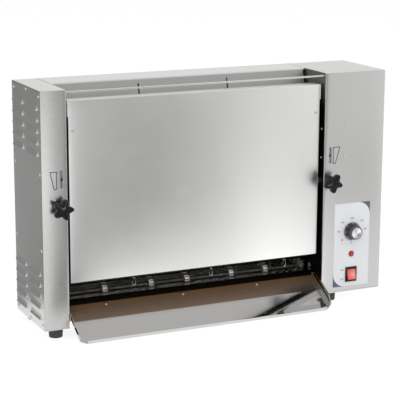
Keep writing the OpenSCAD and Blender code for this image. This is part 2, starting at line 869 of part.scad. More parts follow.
// Foot screws point up from the recesses into the base pan
module foot_screws() {
    color(steel) place() at_feet() translate([0, 0, foot_recess - foot_h]) {
        translate([0, 0, -screw_head_h]) cylinder(d = screw_head_d, h = screw_head_h);
        translate([0, 0, -screw_head_h / 2])
            cylinder(d = screw_d, h = foot_h - foot_recess + screw_head_h / 2 + base_t);
    }
}

// Front panel with its casing turned back all round, and ears at the top of the sides
module front_panel() {
    x0 = x_mid - panel_w / 2;
    color(steel) place() difference() {
        union() {
            box([x0, panel_setback, panel_low], [x0 + panel_w, casing_y, panel_top]);
            box([x0 - panel_ear, panel_setback, panel_top - panel_ear_h],
                [x0 + panel_w + panel_ear, panel_setback + sheet, panel_top]);
        }
        box([x0 + sheet, panel_setback + sheet, panel_low + sheet],
            [x0 + panel_w - sheet, casing_y + over, panel_top - sheet]);
        at_panel_screws() screw_hole(screw_l);
    }
}

module at_panel_screws() {
    for (side = [-1, 1])
        translate([x_mid + side * (panel_w / 2 - panel_screw_in), panel_setback,
            panel_top - panel_screw_drop])
            rotate(90) children();
}

module panel_screws() {
    color(steel) place() at_panel_screws() screw();
}

// Space inside the heater casing, drawn in by a margin and between two depths
module casing_layer(y0, y1, margin) {
    x0 = x_mid - panel_w / 2 + sheet + margin;
    box([x0, y0, panel_low + sheet + margin],
        [x0 + panel_w - 2 * sheet - 2 * margin, y1, panel_top - sheet - margin]);
}

module platen() {
    color([0.45, 0.45, 0.46]) place() casing_layer(platen_y, platen_y + platen_t, fit);
}

module release_sheet() {
    color([0.35, 0.27, 0.2]) place()
        casing_layer(platen_y + platen_t, platen_y + platen_t + release_t, 2 * fit);
}

module insulation_board() {
    y0 = panel_setback + sheet;
    color([0.85, 0.82, 0.75]) place() difference() {
        casing_layer(y0, y0 + board_t, fit);
        at_panel_screws() screw_hole(board_t + 2 * screw_l);
    }
}

// Middle of a hairpin of the heater
function heater_mid(i) = panel_low + sheet + (i + 0.5) * heater_step;

module heating_elements() {
    x0 = x_mid - panel_w / 2 + heater_end;
    x1 = x_mid + panel_w / 2 - heater_end - heater_gap / 2;
    color(dark) place() for (i = [0:heater_n - 1]) {
        for (side = [-1, 1])
            rod_x(x0, x1, heater_y, heater_mid(i) + side * heater_gap / 2, heater_d);
        translate([x1, heater_y, heater_mid(i)]) rotate([90, 0, 0]) rotate([0, 0, -90])
            rotate_extrude(angle = 180) translate([heater_gap / 2, 0]) circle(d = heater_d);
    }
}

module element_clamps() {
    color(steel) place() for (k = [-1:1], i = [0:heater_n - 1]) {
        x = x_mid + k * panel_w / 4;
        half = heater_gap / 2 + heater_d;
        box([x - clamp_w / 2, clamp_y, heater_mid(i) - half],
            [x + clamp_w / 2, clamp_y + clamp_t, heater_mid(i) + half]);
        for (side = [-1, 1])
            box([x - clamp_w / 2, clamp_y + clamp_t, heater_mid(i) + side * half - clamp_t / 2],
                [x + clamp_w / 2, platen_y, heater_mid(i) + side * half + clamp_t / 2]);
    }
}

// Bulb of the thermostat, lying on the heated plate
module temperature_bulb() {
    x1 = x_mid + panel_w / 2 - heater_end - heater_d;
    color([0.72, 0.45, 0.25]) place()
        rod_x(x1 - bulb_l, x1, platen_y - fit - bulb_d / 2, heater_mid(heater_n - 1), bulb_d);
}

// Arm of the heater casing: bridge through the wall, nut block and cam plate
module carriage_arm(knob_in) {
    y_cam = [pointer_pin_y - gap_travel - cam_slot_r - cam_rim,
        pointer_pin_y + gap_travel + cam_slot_r + cam_rim];
    nut_y = bridge_y - bridge_d / 2;
    difference() {
        union() {
            box([-panel_gap, nut_y, knob_h - bridge_h / 2],
                [knob_in, nut_y + bridge_d, knob_h + bridge_h / 2]);
            box([knob_in - nut_half, nut_y, knob_h - nut_half],
                [cam_in + cam_t, nut_y + nut_l, knob_h + nut_half]);
            box([cam_in, y_cam[0], knob_h + nut_half],
                [cam_in + cam_t, y_cam[1], scale_h + pointer_travel + cam_slot_r + cam_rim]);
        }
        rod_y(knob_in, -over, spindle_end + over, knob_h, spindle_d + 2 * run_fit);
        translate([cam_in - over, pointer_pin_y, scale_h]) rotate([90, 0, 90])
            linear_extrude(cam_t + 2 * over) cam_slot();
    }
}

// Sloped slot that lifts the pointer as the casing comes forward
module cam_slot() {
    travel = norm([gap_travel, gap_travel * pointer_ratio]);
    rotate(atan(pointer_ratio)) square([2 * travel + 2 * cam_slot_r, 2 * cam_slot_r], center = true);
}

module left_carriage_arm() {
    color(steel) place() into_housing(-1) carriage_arm(knob_in_left);
}

module right_carriage_arm() {
    color(steel) place() into_housing(1) carriage_arm(knob_in_right);
}

// Lobed knob on a boss
module star_knob(knob_in, turn = 0) {
    lobe = knob_lobe_d / 2;
    ring = knob_d / 2 - lobe;
    translate([knob_in, 0, knob_h]) difference() {
        union() {
            translate([0, -knob_reach, 0]) rotate([-90, 0, 0]) linear_extrude(knob_t) {
                circle(r = ring);
                for (i = [0:knob_lobes - 1])
                    rotate(90 + turn + i * 360 / knob_lobes) translate([ring, 0]) circle(r = lobe);
            }
            rod_y(0, -knob_reach + knob_face, -bush_lip - 2 * fit, 0, knob_boss_d);
        }
        rod_y(0, -knob_reach + knob_face, over, 0, spindle_d + 2 * run_fit);
    }
}

module left_knob() {
    color(black) place() into_housing(-1) star_knob(knob_in_left, knob_turn_left);
}

module right_knob() {
    color(black) place() into_housing(1) star_knob(knob_in_right);
}

// Threaded spindle with a collar behind the front wall
module spindle(knob_in) {
    collar = sheet + bush_lip + fit;
    rod_y(knob_in, -knob_reach + knob_face, spindle_end, knob_h, spindle_d);
    rod_y(knob_in, collar, collar + collar_t, knob_h, collar_d);
}

module left_spindle() {
    color(steel) place() into_housing(-1) spindle(knob_in_left);
}

module right_spindle() {
    color(steel) place() into_housing(1) spindle(knob_in_right);
}

module spindle_bush(knob_in) {
    difference() {
        union() {
            rod_y(knob_in, -bush_lip, 0, knob_h, spindle_d + 2 * bush_wall + 2 * bush_rim);
            rod_y(knob_in, -bush_lip, sheet + bush_lip, knob_h, spindle_d + 2 * bush_wall);
        }
        rod_y(knob_in, -bush_lip - over, sheet + bush_lip + over, knob_h, spindle_d + 2 * run_fit);
    }
}

module spindle_bushes() {
    color([0.72, 0.6, 0.35]) place() {
        into_housing(-1) spindle_bush(knob_in_left);
        into_housing(1) spindle_bush(knob_in_right);
    }
}

// Pointer block in its guide, with an arrow in the scale slot and a pin in the cam slot
module pointer(scale_in) {
    block = [sheet + fit, pointer_pin_y + pointer_pin_d];
    arrow_w = scale_w - 2 * play;
    arrow = scale_l / 2 - pointer_travel - play / 2;
    box([scale_in - pointer_w / 2, block[0], scale_h - pointer_tab],
        [scale_in + pointer_w / 2, block[1], scale_h + pointer_tab]);
    box([scale_in - pointer_neck / 2, 0, scale_h - pointer_tab / 2],
        [scale_in + pointer_neck / 2, block[0], scale_h + pointer_tab / 2]);
    translate([scale_in, fit, scale_h]) rotate([90, 0, 0]) linear_extrude(sheet / 2 + fit)
        polygon([[-arrow_w / 2, -arrow], [arrow_w / 2, 0], [-arrow_w / 2, arrow]]);
    rod_x(scale_in, cam_in + cam_t + play, pointer_pin_y, scale_h, pointer_pin_d);
}

module left_pointer() {
    color(black) place() into_housing(-1) pointer(scale_in_left);
}

module right_pointer() {
    color(black) place() into_housing(1) pointer(scale_in_right);
}

// Guide strips on both sides of a pointer block, joined above its travel
module pointer_strips(scale_in, top) {
    half = pointer_w / 2 + fit;
    low = scale_h - pointer_travel - pointer_tab;
    for (x = [scale_in - half - sheet, scale_in + half])
        box([x, sheet, low], [x + sheet, pointer_guide_y, top]);
}

module left_pointer_guide() {
    top = scale_h + pointer_travel + 2 * pointer_tab;
    half = pointer_w / 2 + fit + sheet;
    color(steel) place() into_housing(-1) {
        pointer_strips(scale_in_left, top);
        box([scale_in_left - half, sheet, top - sheet], [scale_in_left + half, pointer_guide_y, top]);
    }
}

// Corner bracket of the right housing, which also guides its pointer
module right_pointer_bracket() {
    top = bracket_high + bracket_half;
    low = bracket_low - bracket_half;
    web = scale_h + pointer_travel + 2 * pointer_tab;
    color(steel) place() into_housing(1) difference() {
        union() {
            pointer_strips(scale_in_right, web + sheet);
            box([sheet, sheet, web], [bracket_in + bracket_half, 2 * sheet, top]);
            box([bracket_in - bracket_half, sheet, low], [bracket_in + bracket_half, 2 * sheet, top]);
            box([sheet, sheet, web], [2 * sheet, bracket_y + bracket_half, top]);
            box([sheet, bracket_y - bracket_half, low], [2 * sheet, bracket_y + bracket_half, top]);
        }
        at_bracket_screws() screw_hole(screw_l);
    }
}

module bracket_screws() {
    color(steel) place() into_housing(1) at_bracket_screws() screw();
}

// Printed label with openings for the controls
module control_label() {
    color([0.93, 0.94, 0.95]) place() difference() {
        box([control_x - label_w / 2, -label_t, label_low],
            [control_x + label_w / 2, 0, label_low + label_h]);
        translate([control_x, -label_t, 0]) control_cuts(label_t);
    }
}

// Dial with a skirt and a fluted grip
module dial_knob() {
    color(black) place() translate([control_x, dial_back, dial_h]) difference() {
        union() {
            rod_y(0, -dial_skirt, 0, 0, dial_d);
            rod_y(0, -dial_l, 0, 0, dial_grip_d);
        }
        for (i = [0:dial_flutes - 1])
            rotate([0, i * 360 / dial_flutes, 0])
                rod_y(dial_grip_d / 2 + flute_d / 4, -dial_l - over, -dial_skirt - fit, 0, flute_d);
        rod_y(0, -dial_shaft_in, over, 0, dial_shaft_d + 2 * run_fit);
    }
}

module dial_cap() {
    color([0.8, 0.8, 0.8]) place()
        rod_y(control_x, dial_back - dial_l - dial_cap_t, dial_back - dial_l, dial_h, dial_cap_d);
}

module thermostat_shaft() {
    color(steel) place()
        rod_y(control_x, dial_back - dial_shaft_in, sheet + stat_shaft_in, dial_h, dial_shaft_d);
}

// Thermostat behind the front wall, with the bore that the dial's shaft turns in
module thermostat_body() {
    color([0.85, 0.85, 0.82]) place() difference() {
        box([control_x - stat_w / 2, sheet, dial_h - stat_w / 2],
            [control_x + stat_w / 2, sheet + stat_d, dial_h + stat_w / 2]);
        rod_y(control_x, 0, sheet + stat_shaft_in + fit, dial_h, dial_shaft_d + 2 * run_fit);
    }
}

module pilot_lens() {
    color([0.8, 0.08, 0.06]) place()
        rod_y(control_x, -label_t - lamp_out, -label_t, lamp_h, lamp_d);
}

module pilot_body() {
    color(black) place() rod_y(control_x, -label_t, lamp_body_l, lamp_h, lamp_body_d);
}

// Switch body with its bezel and the hollow that the rocker tilts in
module switch_body() {
    hollow = [rocker_w / 2 + fit, rocker_h / 2 + fit];
    color(black) place() translate([control_x, -label_t, switch_h]) difference() {
        union() {
            box([-bezel_w / 2, -bezel_t, -bezel_h / 2], [bezel_w / 2, 0, bezel_h / 2]);
            box([-switch_half[0], -bezel_t, -switch_half[1]],
                [switch_half[0], switch_d, switch_half[1]]);
        }
        box([-hollow[0], -bezel_t - over, -hollow[1]], [hollow[0], switch_d - 2 * switch_wall, hollow[1]]);
        rod_x(-bezel_w / 2, bezel_w / 2, rocker_seat, 0, rocker_pin_d + 2 * run_fit);
    }
}

// Rocker on its pin, at rest with its upper end pressed
module rocker() {
    half = rocker_h / 2 - play;
    color([0.75, 0.08, 0.07]) place() translate([control_x, rocker_seat - label_t, switch_h])
        rotate([-rocker_tilt, 0, 0]) {
        translate([-rocker_w / 2, 0, 0]) rotate([90, 0, 90]) linear_extrude(rocker_w)
            polygon([[rocker_depth, -half], [rocker_depth, half], [-rocker_end, half], [-rocker_dip, 0],
                [-rocker_end, -half]]);
        rod_x(-switch_half[0], switch_half[0], 0, 0, rocker_pin_d);
    }
}

// Terminal block on the base pan
module terminal_block() {
    x0 = x_right - gland_in - term_w / 2;
    y0 = body_d - flange_w - term_d - bush_t;
    step = term_w / term_n;
    color([0.92, 0.9, 0.84]) place() difference() {
        box([x0, y0, base_t], [x0 + term_w, y0 + term_d, base_t + term_h]);
        for (i = [0:term_n - 1])
            translate([x0 + (i + 0.5) * step, y0 + term_d / 2, base_t + term_h - term_hole])
                cylinder(d = term_bore, h = term_hole + over);
    }
}

// Cable gland in the rear wall of the right housing
module mains_gland() {
    x = x_right - gland_in;
    inner = body_d - sheet - bush_t;
    color(black) place() difference() {
        union() {
            rod_y(x, body_d, body_d + gland_nut, gland_h, gland_d);
            rod_y(x, body_d, body_d + gland_out, gland_h, gland_d - bush_wall);
            rod_y(x, inner, body_d + gland_nut, gland_h, gland_d - 2 * bush_wall);
            rod_y(x, inner, body_d - sheet, gland_h, gland_d);
        }
        rod_y(x, inner - over, body_d + gland_out + over, gland_h, gland_bore);
    }
}

// Motor on its gear case, on the outer face of the bracket
module gearmotor() {
    x0 = bracket_x + bracket_t;
    color([0.35, 0.36, 0.38]) place() difference() {
        union() {
            box([x0, motor_y - gear_case / 2, motor_h - gear_case / 2],
                [x0 + gear_t, motor_y + gear_case / 2, motor_h + gear_case / 2]);
            rod_x(x0 + gear_t - over, x0 + gear_t + motor_l, motor_y, motor_h, motor_d);
        }
        rod_x(x0 - over, x0 + output_in + fit, motor_y, motor_h, output_d + 2 * run_fit);
    }
}

// Upright plate that stands on the base pan and carries the gear case
module motor_bracket() {
    half = gear_case / 2;
    color(steel) place() difference() {
        union() {
            box([bracket_x, motor_y - half, base_t],
                [bracket_x + bracket_t, motor_y + half, motor_h + half]);
            box([bracket_x, motor_y - half, base_t],
                [bracket_x + bracket_foot, motor_y + half, base_t + bracket_t]);
        }
        rod_x(bracket_x - over, bracket_x + bracket_t + over, motor_y, motor_h, output_d + 2 * bush_wall);
    }
}

// Chain wheel with rounded teeth inside the chain
module chain_wheel(r, teeth) {
    linear_extrude(chain_w) difference() {
        circle(r = r - chain_t / 2 - fit);
        for (i = [0:teeth - 1])
            rotate(i * 360 / teeth) translate([r - chain_t / 2, 0]) circle(d = chain_pitch / 2);
    }
}

// Chain wheel and output shaft of the motor
module motor_sprocket() {
    color(steel) place() {
        translate([x_right_in + chain_in, motor_y, motor_h]) rotate([0, 90, 0])
            chain_wheel(motor_r, motor_teeth);
        rod_x(x_right_in + chain_in - shaft_end, bracket_x + bracket_t + output_in, motor_y, motor_h,
            output_d);
    }
}

// Chain wheel on the drive shaft
module drive_sprocket() {
    color(steel) place() difference() {
        translate([x_right_in + chain_in, shaft_y, drive_h]) rotate([0, 90, 0])
            chain_wheel(driven_r, driven_teeth);
        rod_x(x_right_in, bracket_x, shaft_y, drive_h, drive_d + 2 * run_fit);
    }
}

// Points of a loop round two circles, from the first circle to the second
function arc_points(c, r, from, to, n) =
    [for (i = [0:n]) c + r * [cos(from + (to - from) * i / n), sin(from + (to - from) * i / n)]];

function loop_points(c1, r1, c2, r2, n) =
    let (span = c2 - c1, tilt = atan2(span[1], span[0]), lean = acos((r1 - r2) / norm(span)))
    concat(arc_points(c1, r1, tilt + lean, tilt + 360 - lean, n),
        arc_points(c2, r2, tilt - lean, tilt + lean, n));

// Closed chain of even thickness round both wheels
module drive_chain() {
    c1 = [shaft_y, drive_h];
    c2 = [motor_y, motor_h];
    arc_steps = 24;
    color(dark) place() translate([x_right_in + chain_in, 0, 0]) rotate([90, 0, 90])
        linear_extrude(chain_w) difference() {
            polygon(loop_points(c1, driven_r + chain_t / 2, c2, motor_r + chain_t / 2, arc_steps));
            polygon(loop_points(c1, driven_r - chain_t / 2, c2, motor_r - chain_t / 2, arc_steps));
        }
}

module drive_shaft() {
    color(dark) place() rod_x(x_left_in - sheet - bush_t - shaft_end,
        x_right_in + chain_in + chain_w + shaft_end, shaft_y, drive_h, drive_d);
}

module idler_shaft() {
    color(dark) place() rod_x(x_left_in - sheet - bush_t - shaft_end,
        x_right_in + sheet + bush_t + shaft_end, shaft_y, idler_h, idler_d);
}

// Grooved belt wheels in a row on one shaft
module belt_wheels(h, bore) {
    for (x = wheel_x)
        translate([x - wheel_w / 2, shaft_y, h]) rotate([0, 90, 0]) linear_extrude(wheel_w)
            difference() {
                circle(r = wheel_r);
                circle(d = bore + 2 * run_fit);
                for (i = [0:wheel_grooves - 1])
                    rotate(i * 360 / wheel_grooves) translate([wheel_r + wire_d - groove, 0])
                        circle(r = wire_d);
            }
}

module drive_wheels() {
    color([0.62, 0.62, 0.6]) place() belt_wheels(drive_h, drive_d);
}

module idler_wheels() {
    color([0.62, 0.62, 0.6]) place() belt_wheels(idler_h, idler_d);
}

// Bush of a shaft, with its flange inside the housing
module shaft_bush(h, d) {
    difference() {
        union() {
            rod_x(sheet, sheet + bush_t, shaft_y, h, bush_d);
            rod_x(0, sheet + bush_t, shaft_y, h, d + 2 * bush_wall);
        }
        rod_x(-over, sheet + bush_t + over, shaft_y, h, d + 2 * run_fit);
    }
}

module shaft_bushes() {
    color([0.72, 0.6, 0.35]) place() for (side = [-1, 1])
        into_housing(side) {
            shaft_bush(drive_h, drive_d);
            shaft_bush(idler_h, idler_d);
        }
}

// Place of a point at a distance along the belt, as depth and height
function belt_at(s) =
    s < belt_run ? [shaft_y - belt_r, drive_h + s]
    : s < belt_run + PI * belt_r ? let (a = (s - belt_run) / belt_r * 180 / PI)
        [shaft_y - belt_r * cos(a), idler_h + belt_r * sin(a)]
    : s < 2 * belt_run + PI * belt_r ? [shaft_y + belt_r, idler_h - (s - belt_run - PI * belt_r)]
    : let (a = (s - 2 * belt_run - PI * belt_r) / belt_r * 180 / PI)
        [shaft_y + belt_r * cos(a), drive_h - belt_r * sin(a)];

// Wire belt: cross wires on link strips that run round the wheels
module conveyor_belt() {
    c1 = [shaft_y, drive_h];
    c2 = [shaft_y, idler_h];
    arc_steps = 24;
    wire_sides = 6;
    color([0.4, 0.4, 0.4]) place() {
        for (i = [0:wire_n - 1]) {
            at = belt_at((i + 0.5) * belt_loop / wire_n);
            translate([0, at[0], at[1]]) rotate([0, 90, 0]) translate([0, 0, x_left_in + belt_end])
                cylinder(d = wire_d, h = inner_w - 2 * belt_end, $fn = wire_sides);
        }
        for (x = [wheel_x[0], (wheel_x[0] + wheel_last_x) / 2, wheel_last_x])
            translate([x - link_w / 2, 0, 0]) rotate([90, 0, 90]) linear_extrude(link_w) difference() {
                polygon(loop_points(c1, belt_r + link_t / 2, c2, belt_r + link_t / 2, arc_steps));
                polygon(loop_points(c1, belt_r - link_t / 2, c2, belt_r - link_t / 2, arc_steps));
            }
    }
}

// Plate that holds the front run of the belt, with its ends turned back on the walls
module belt_backing() {
    y0 = belt_y + wire_d + fit;
    low = drive_h + belt_r + backing_end;
    high = idler_h - belt_r - backing_end;
    color(steel) place() {
        box([x_left_in, y0, low], [x_right_in, y0 + backing_t, high]);
        for (x = [x_left_in, x_right_in - backing_t])
            box([x, y0, low], [x + backing_t, shaft_y, high]);
    }
}

// Wire across the foot of the belt, with a hook on each lane
module stripper_wire() {
    color(steel) place() {
        rod_x(x_left_in - rod_in, x_right_in + rod_in, strip_y, strip_h, strip_d);
        for (x = hook_x)
            translate([x, strip_y, strip_h - strip_l]) cylinder(d = strip_d, h = strip_l);
    }
}

base_pan();
left_housing();
right_housing();
left_side_cover();
right_side_cover();
rear_cover();
rear_guide();
guide_rod();
chute_bracket();
landing_tray();
tray_rails();
feet();
foot_screws();
cover_screws();
rear_cover_screws();
tray_screws();
bracket_screws();
front_panel();
panel_screws();
platen();
release_sheet();
heating_elements();
element_clamps();
insulation_board();
temperature_bulb();
left_carriage_arm();
right_carriage_arm();
left_knob();
left_spindle();
right_knob();
right_spindle();
spindle_bushes();
left_pointer();
right_pointer();
left_pointer_guide();
right_pointer_bracket();
control_label();
dial_knob();
dial_cap();
thermostat_body();
thermostat_shaft();
pilot_lens();
pilot_body();
switch_body();
rocker();
terminal_block();
mains_gland();
gearmotor();
motor_bracket();
motor_sprocket();
drive_chain();
drive_sprocket();
drive_shaft();
drive_wheels();
shaft_bushes();
idler_shaft();
idler_wheels();
conveyor_belt();
belt_backing();
stripper_wire();
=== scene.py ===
"""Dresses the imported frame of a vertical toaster: finishes, folds, woven wire, knobs, print and stage."""

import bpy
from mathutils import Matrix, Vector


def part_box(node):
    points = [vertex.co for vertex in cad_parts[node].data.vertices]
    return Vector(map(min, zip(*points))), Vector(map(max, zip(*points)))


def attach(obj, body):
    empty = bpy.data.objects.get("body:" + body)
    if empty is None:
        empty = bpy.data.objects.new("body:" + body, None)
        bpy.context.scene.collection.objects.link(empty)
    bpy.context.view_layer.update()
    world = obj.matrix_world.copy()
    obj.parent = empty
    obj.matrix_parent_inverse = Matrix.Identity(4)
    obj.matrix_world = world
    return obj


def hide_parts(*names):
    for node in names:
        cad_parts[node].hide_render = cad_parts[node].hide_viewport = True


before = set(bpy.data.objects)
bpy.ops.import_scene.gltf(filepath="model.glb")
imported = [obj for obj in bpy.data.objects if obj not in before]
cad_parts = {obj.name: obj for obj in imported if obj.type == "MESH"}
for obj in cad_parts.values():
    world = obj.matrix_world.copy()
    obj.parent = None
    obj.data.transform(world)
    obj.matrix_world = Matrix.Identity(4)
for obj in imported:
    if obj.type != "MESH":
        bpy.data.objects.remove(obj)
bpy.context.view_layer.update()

import math

import bmesh
import bpy
from bpy.props import (
    FloatProperty,
    FloatVectorProperty,
    IntProperty,
    PointerProperty,
)
from bpy.types import Operator, Panel, PropertyGroup
from mathutils import Matrix, Vector

bl_info = {
    "name": "Vertical toaster",
    "version": (1, 0, 0),
    "blender": (4, 5, 0),
    "location": "3D View > Sidebar > Toaster",
    "description": "Dresses the frame of a vertical toaster with its finishes and fine pieces",
    "category": "Object",
}

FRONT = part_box("left_housing")[0].y
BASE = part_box("base_pan")[0].z
FINISHES = {}

# Where the camera stands
EYE = (-1.2696, FRONT - 2.6111, BASE + 0.8986)

# Turns what was made lying down to face the front
UPRIGHT = (math.pi / 2, 0, 0)
FACE_FRONT = Matrix.Rotation(UPRIGHT[0], 4, "X")

# How deep the inner wall of a housing counts as its face, for the painted shade on that wall
WALL = 0.0014


# Sizes and colours


def length(name, description, default, low, high):
    """A length in metres for the sidebar."""
    return FloatProperty(
        name=name, description=description, default=default, min=low, max=high, unit="LENGTH", precision=5
    )


def tint(name, description, default):
    """A linear colour for the sidebar."""
    return FloatVectorProperty(
        name=name, description=description, default=default, min=0.0, max=1.0, size=3, subtype="COLOR"
    )


class ToasterSizes(PropertyGroup):
    """Sizes of the pieces that are modelled here."""

    fold: length("Fold radius", "Outer radius of the folds in the sheet metal", 0.0009, 0.0003, 0.0011)
    knob_dome: length("Knob dome", "How far the face of a star knob is crowned", 0.0035, 0.0, 0.005)
    knob_round: length("Knob rounding", "Radius round the lobes of a star knob", 0.003, 0.0005, 0.004)
    wire: length("Belt wire", "Radius of a belt wire", 0.0008, 0.0004, 0.001)
    wave: length("Belt wave", "Height of the zigzag in a belt wire", 0.0038, 0.0, 0.004)
    figure: length("Figure height", "Height of the figures round the dial", 0.0060, 0.002, 0.009)
    print_rise: length("Print rise", "How far ink stands on its sheet", 0.00006, 0.00002, 0.0003)
    belt_wires: IntProperty(
        name="Belt wires", description="Cross wires in the belt", default=86, min=40, max=120
    )


class ToasterColours(PropertyGroup):
    """Colours of the finishes."""

    steel: tint("Brushed steel", "Stainless sheet", (0.73, 0.725, 0.715))
    polished: tint("Polished steel", "Landing tray and rods", (0.62, 0.61, 0.60))
    # Painted shade: a near-black steel for the belt backing, chute bracket and stripper rod, which sit in
    # shadow
    dark_steel: tint("Dark steel", "Heat-darkened sheet", (0.016, 0.014, 0.012))
    belt: tint("Belt wire", "Oxidised belt wire", (0.32, 0.305, 0.285))
    # Painted light: the wheels are lighter than cast metal, so that they stay light in the shade under the
    # panel
    wheel: tint("Wheels", "Cast belt wheels", (0.80, 0.79, 0.77))
    black: tint("Black", "Moulded black plastic", (0.012, 0.012, 0.013))
    rubber: tint("Rubber", "Feet", (0.060, 0.062, 0.065))
    paper: tint("Label", "Face of the control label", (0.90, 0.91, 0.93))
    blue: tint("Label corners", "Slate corners of the control label", (0.085, 0.14, 0.22))
    ink: tint("Ink", "Figures and outlines", (0.03, 0.03, 0.035))
    red: tint("Red", "Pilot lens and rocker", (0.62, 0.012, 0.012))
    silver: tint("Silver", "Turned cap of the dial", (0.77, 0.77, 0.77))


def sizes():
    return bpy.context.scene.toaster_sizes


def colours():
    return bpy.context.scene.toaster_colours


def middle(node):
    """The middle of a CAD node's box."""
    low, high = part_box(node)
    return (low + high) / 2


# Shader nodes


def maths(operation):
    """Two methods that add a Math node: for an operator, and for its reflected form."""

    def plain(self, other):
        return self.math(operation, self, other)

    def reflected(self, other):
        return self.math(operation, other, self)

    return plain, reflected


class Flow:
    """An output socket of a node tree; operators on it add Math nodes."""

    def __init__(self, tree, socket=None):
        self.tree = tree
        self.socket = socket

    def add(self, kind, settings=None, values=None, out=0):
        """Adds a node: its settings first, then the numbers or links of its sockets."""
        made = self.tree.nodes.new(kind)
        for key, value in (settings or {}).items():
            if key == "stops":
                ramp = made.color_ramp.elements
                while len(ramp) < len(value):
                    ramp.new(0.5)
                for stop, (place, grey) in zip(ramp, value):
                    stop.position = place
                    stop.color = (grey, grey, grey, 1.0)
            else:
                setattr(made, key, value)
        for key, value in (values or {}).items():
            if isinstance(value, Flow):
                self.tree.links.new(value.socket, made.inputs[key])
            else:
                made.inputs[key].default_value = value
        return Flow(self.tree, made.outputs[out])

    def show(self, kind="Material"):
        """Makes this shader the surface of its tree."""
        out = self.tree.nodes.new("ShaderNodeOutput" + kind)
        self.tree.links.new(self.socket, out.inputs["Surface"])

    def math(self, operation, first, second=0.0):
        return self.add("ShaderNodeMath", {"operation": operation}, {0: first, 1: second})

    __add__, __radd__ = maths("ADD")
    __sub__, __rsub__ = maths("SUBTRACT")
    __mul__, __rmul__ = maths("MULTIPLY")
    __truediv__, __rtruediv__ = maths("DIVIDE")
    __pow__, __rpow__ = maths("POWER")
    __gt__, __lt__ = maths("GREATER_THAN")

    def __abs__(self):
        return self.math("ABSOLUTE", self)


def blank(owner):
    """Clears the nodes of a material or world, and gives the flow that fills them."""
    owner.use_nodes = True
    owner.node_tree.nodes.clear()
    return Flow(owner.node_tree)


class Finish:
    """A material with a Principled shader on the object's own coordinates."""

    def __init__(self, name):
        FINISHES[name] = bpy.data.materials.new(name + "_finish")
        flow = blank(FINISHES[name])
        self.shader = flow.tree.nodes.new("ShaderNodeBsdfPrincipled")
        Flow(flow.tree, self.shader.outputs[0]).show()
        self.at = flow.add("ShaderNodeTexCoord", out="Object")
        axes = [flow.add("ShaderNodeSeparateXYZ", None, {0: self.at}, i) for i in range(3)]
        self.x, self.y, self.z = axes

    def set(self, **values):
        """Sets or links inputs of the shader, named with _ for a space."""
        for key, value in values.items():
            socket = self.shader.inputs[key.replace("_", " ")]
            if isinstance(value, Flow):
                self.at.tree.links.new(value.socket, socket)
            elif isinstance(value, (tuple, list)) and len(value) == 3:
                socket.default_value = (*value, 1.0)
            else:
                socket.default_value = value
        return self

    def noise(self, scale, detail=2.0, at=None):
        """Noise from 0 to 1; scale is cells in a metre, one number or one along each axis."""
        cells = scale if isinstance(scale, tuple) else (scale, scale, scale)
        place = self.at.add("ShaderNodeVectorMath", {"operation": "MULTIPLY"}, {0: at or self.at, 1: cells})
        return self.at.add("ShaderNodeTexNoise", None, {"Vector": place, "Scale": 1.0, "Detail": detail})

    def away(self, x, z):
        """How far a point is from a line that runs from front to back."""
        return ((self.x - x) ** 2.0 + (self.z - z) ** 2.0) ** 0.5

    def ramp(self, value, *stops):
        return self.at.add("ShaderNodeValToRGB", {"stops": stops}, {0: value})

    def mix(self, first, second, factor):
        """From the first colour to the second."""
        ends = [c if isinstance(c, Flow) else (*c, 1.0) for c in (first, second)]
        return self.at.add("ShaderNodeMix", {"data_type": "RGBA"}, {0: factor, 6: ends[0], 7: ends[1]}, 2)

    def bump(self, *heights):
        """Heights in metres, each on the normal that the one before it gives."""
        normal = None
        for height in heights:
            values = {"Strength": 1.0, "Distance": 1.0, "Height": height}
            if normal:
                values["Normal"] = normal
            normal = self.at.add("ShaderNodeBump", None, values)
        return self.set(Normal=normal)


def shade(colour, factor):
    return tuple(min(1.0, c * factor) for c in colour)


def brushed(name, colour, rough=0.3, form=None, painted_shade=None):
    """Stainless sheet with a fine grain, faint clouds, a few smears, and painted shade where it is masked."""
    f = Finish(name)
    grain = f.noise((26, 26, 2400), 3.0) * 0.6 + f.noise((26, 2400, 26), 3.0) * 0.4
    cloud = f.noise(7, 2.0)
    smear = f.ramp(f.noise((16, 16, 34), 4.0), (0.55, 0.0), (0.75, 1.0))
    steel = f.mix(shade(colour, 0.94), shade(colour, 1.04), grain * 0.6 + cloud * 0.4)
    rough = rough - 0.05 + grain * 0.10 + smear * 0.02
    if painted_shade:
        # Painted shade: the masked sheet is painted near black and made rougher
        mask = painted_shade(f)
        steel = f.mix(steel, (0.010, 0.009, 0.008), mask)
        rough = rough + mask * 0.3
    f.set(Base_Color=steel, Metallic=1.0, Roughness=rough)
    heights = [grain * 8e-6 + cloud * 5e-5]
    if form:
        heights.insert(0, form(f))
    return f.bump(*heights)


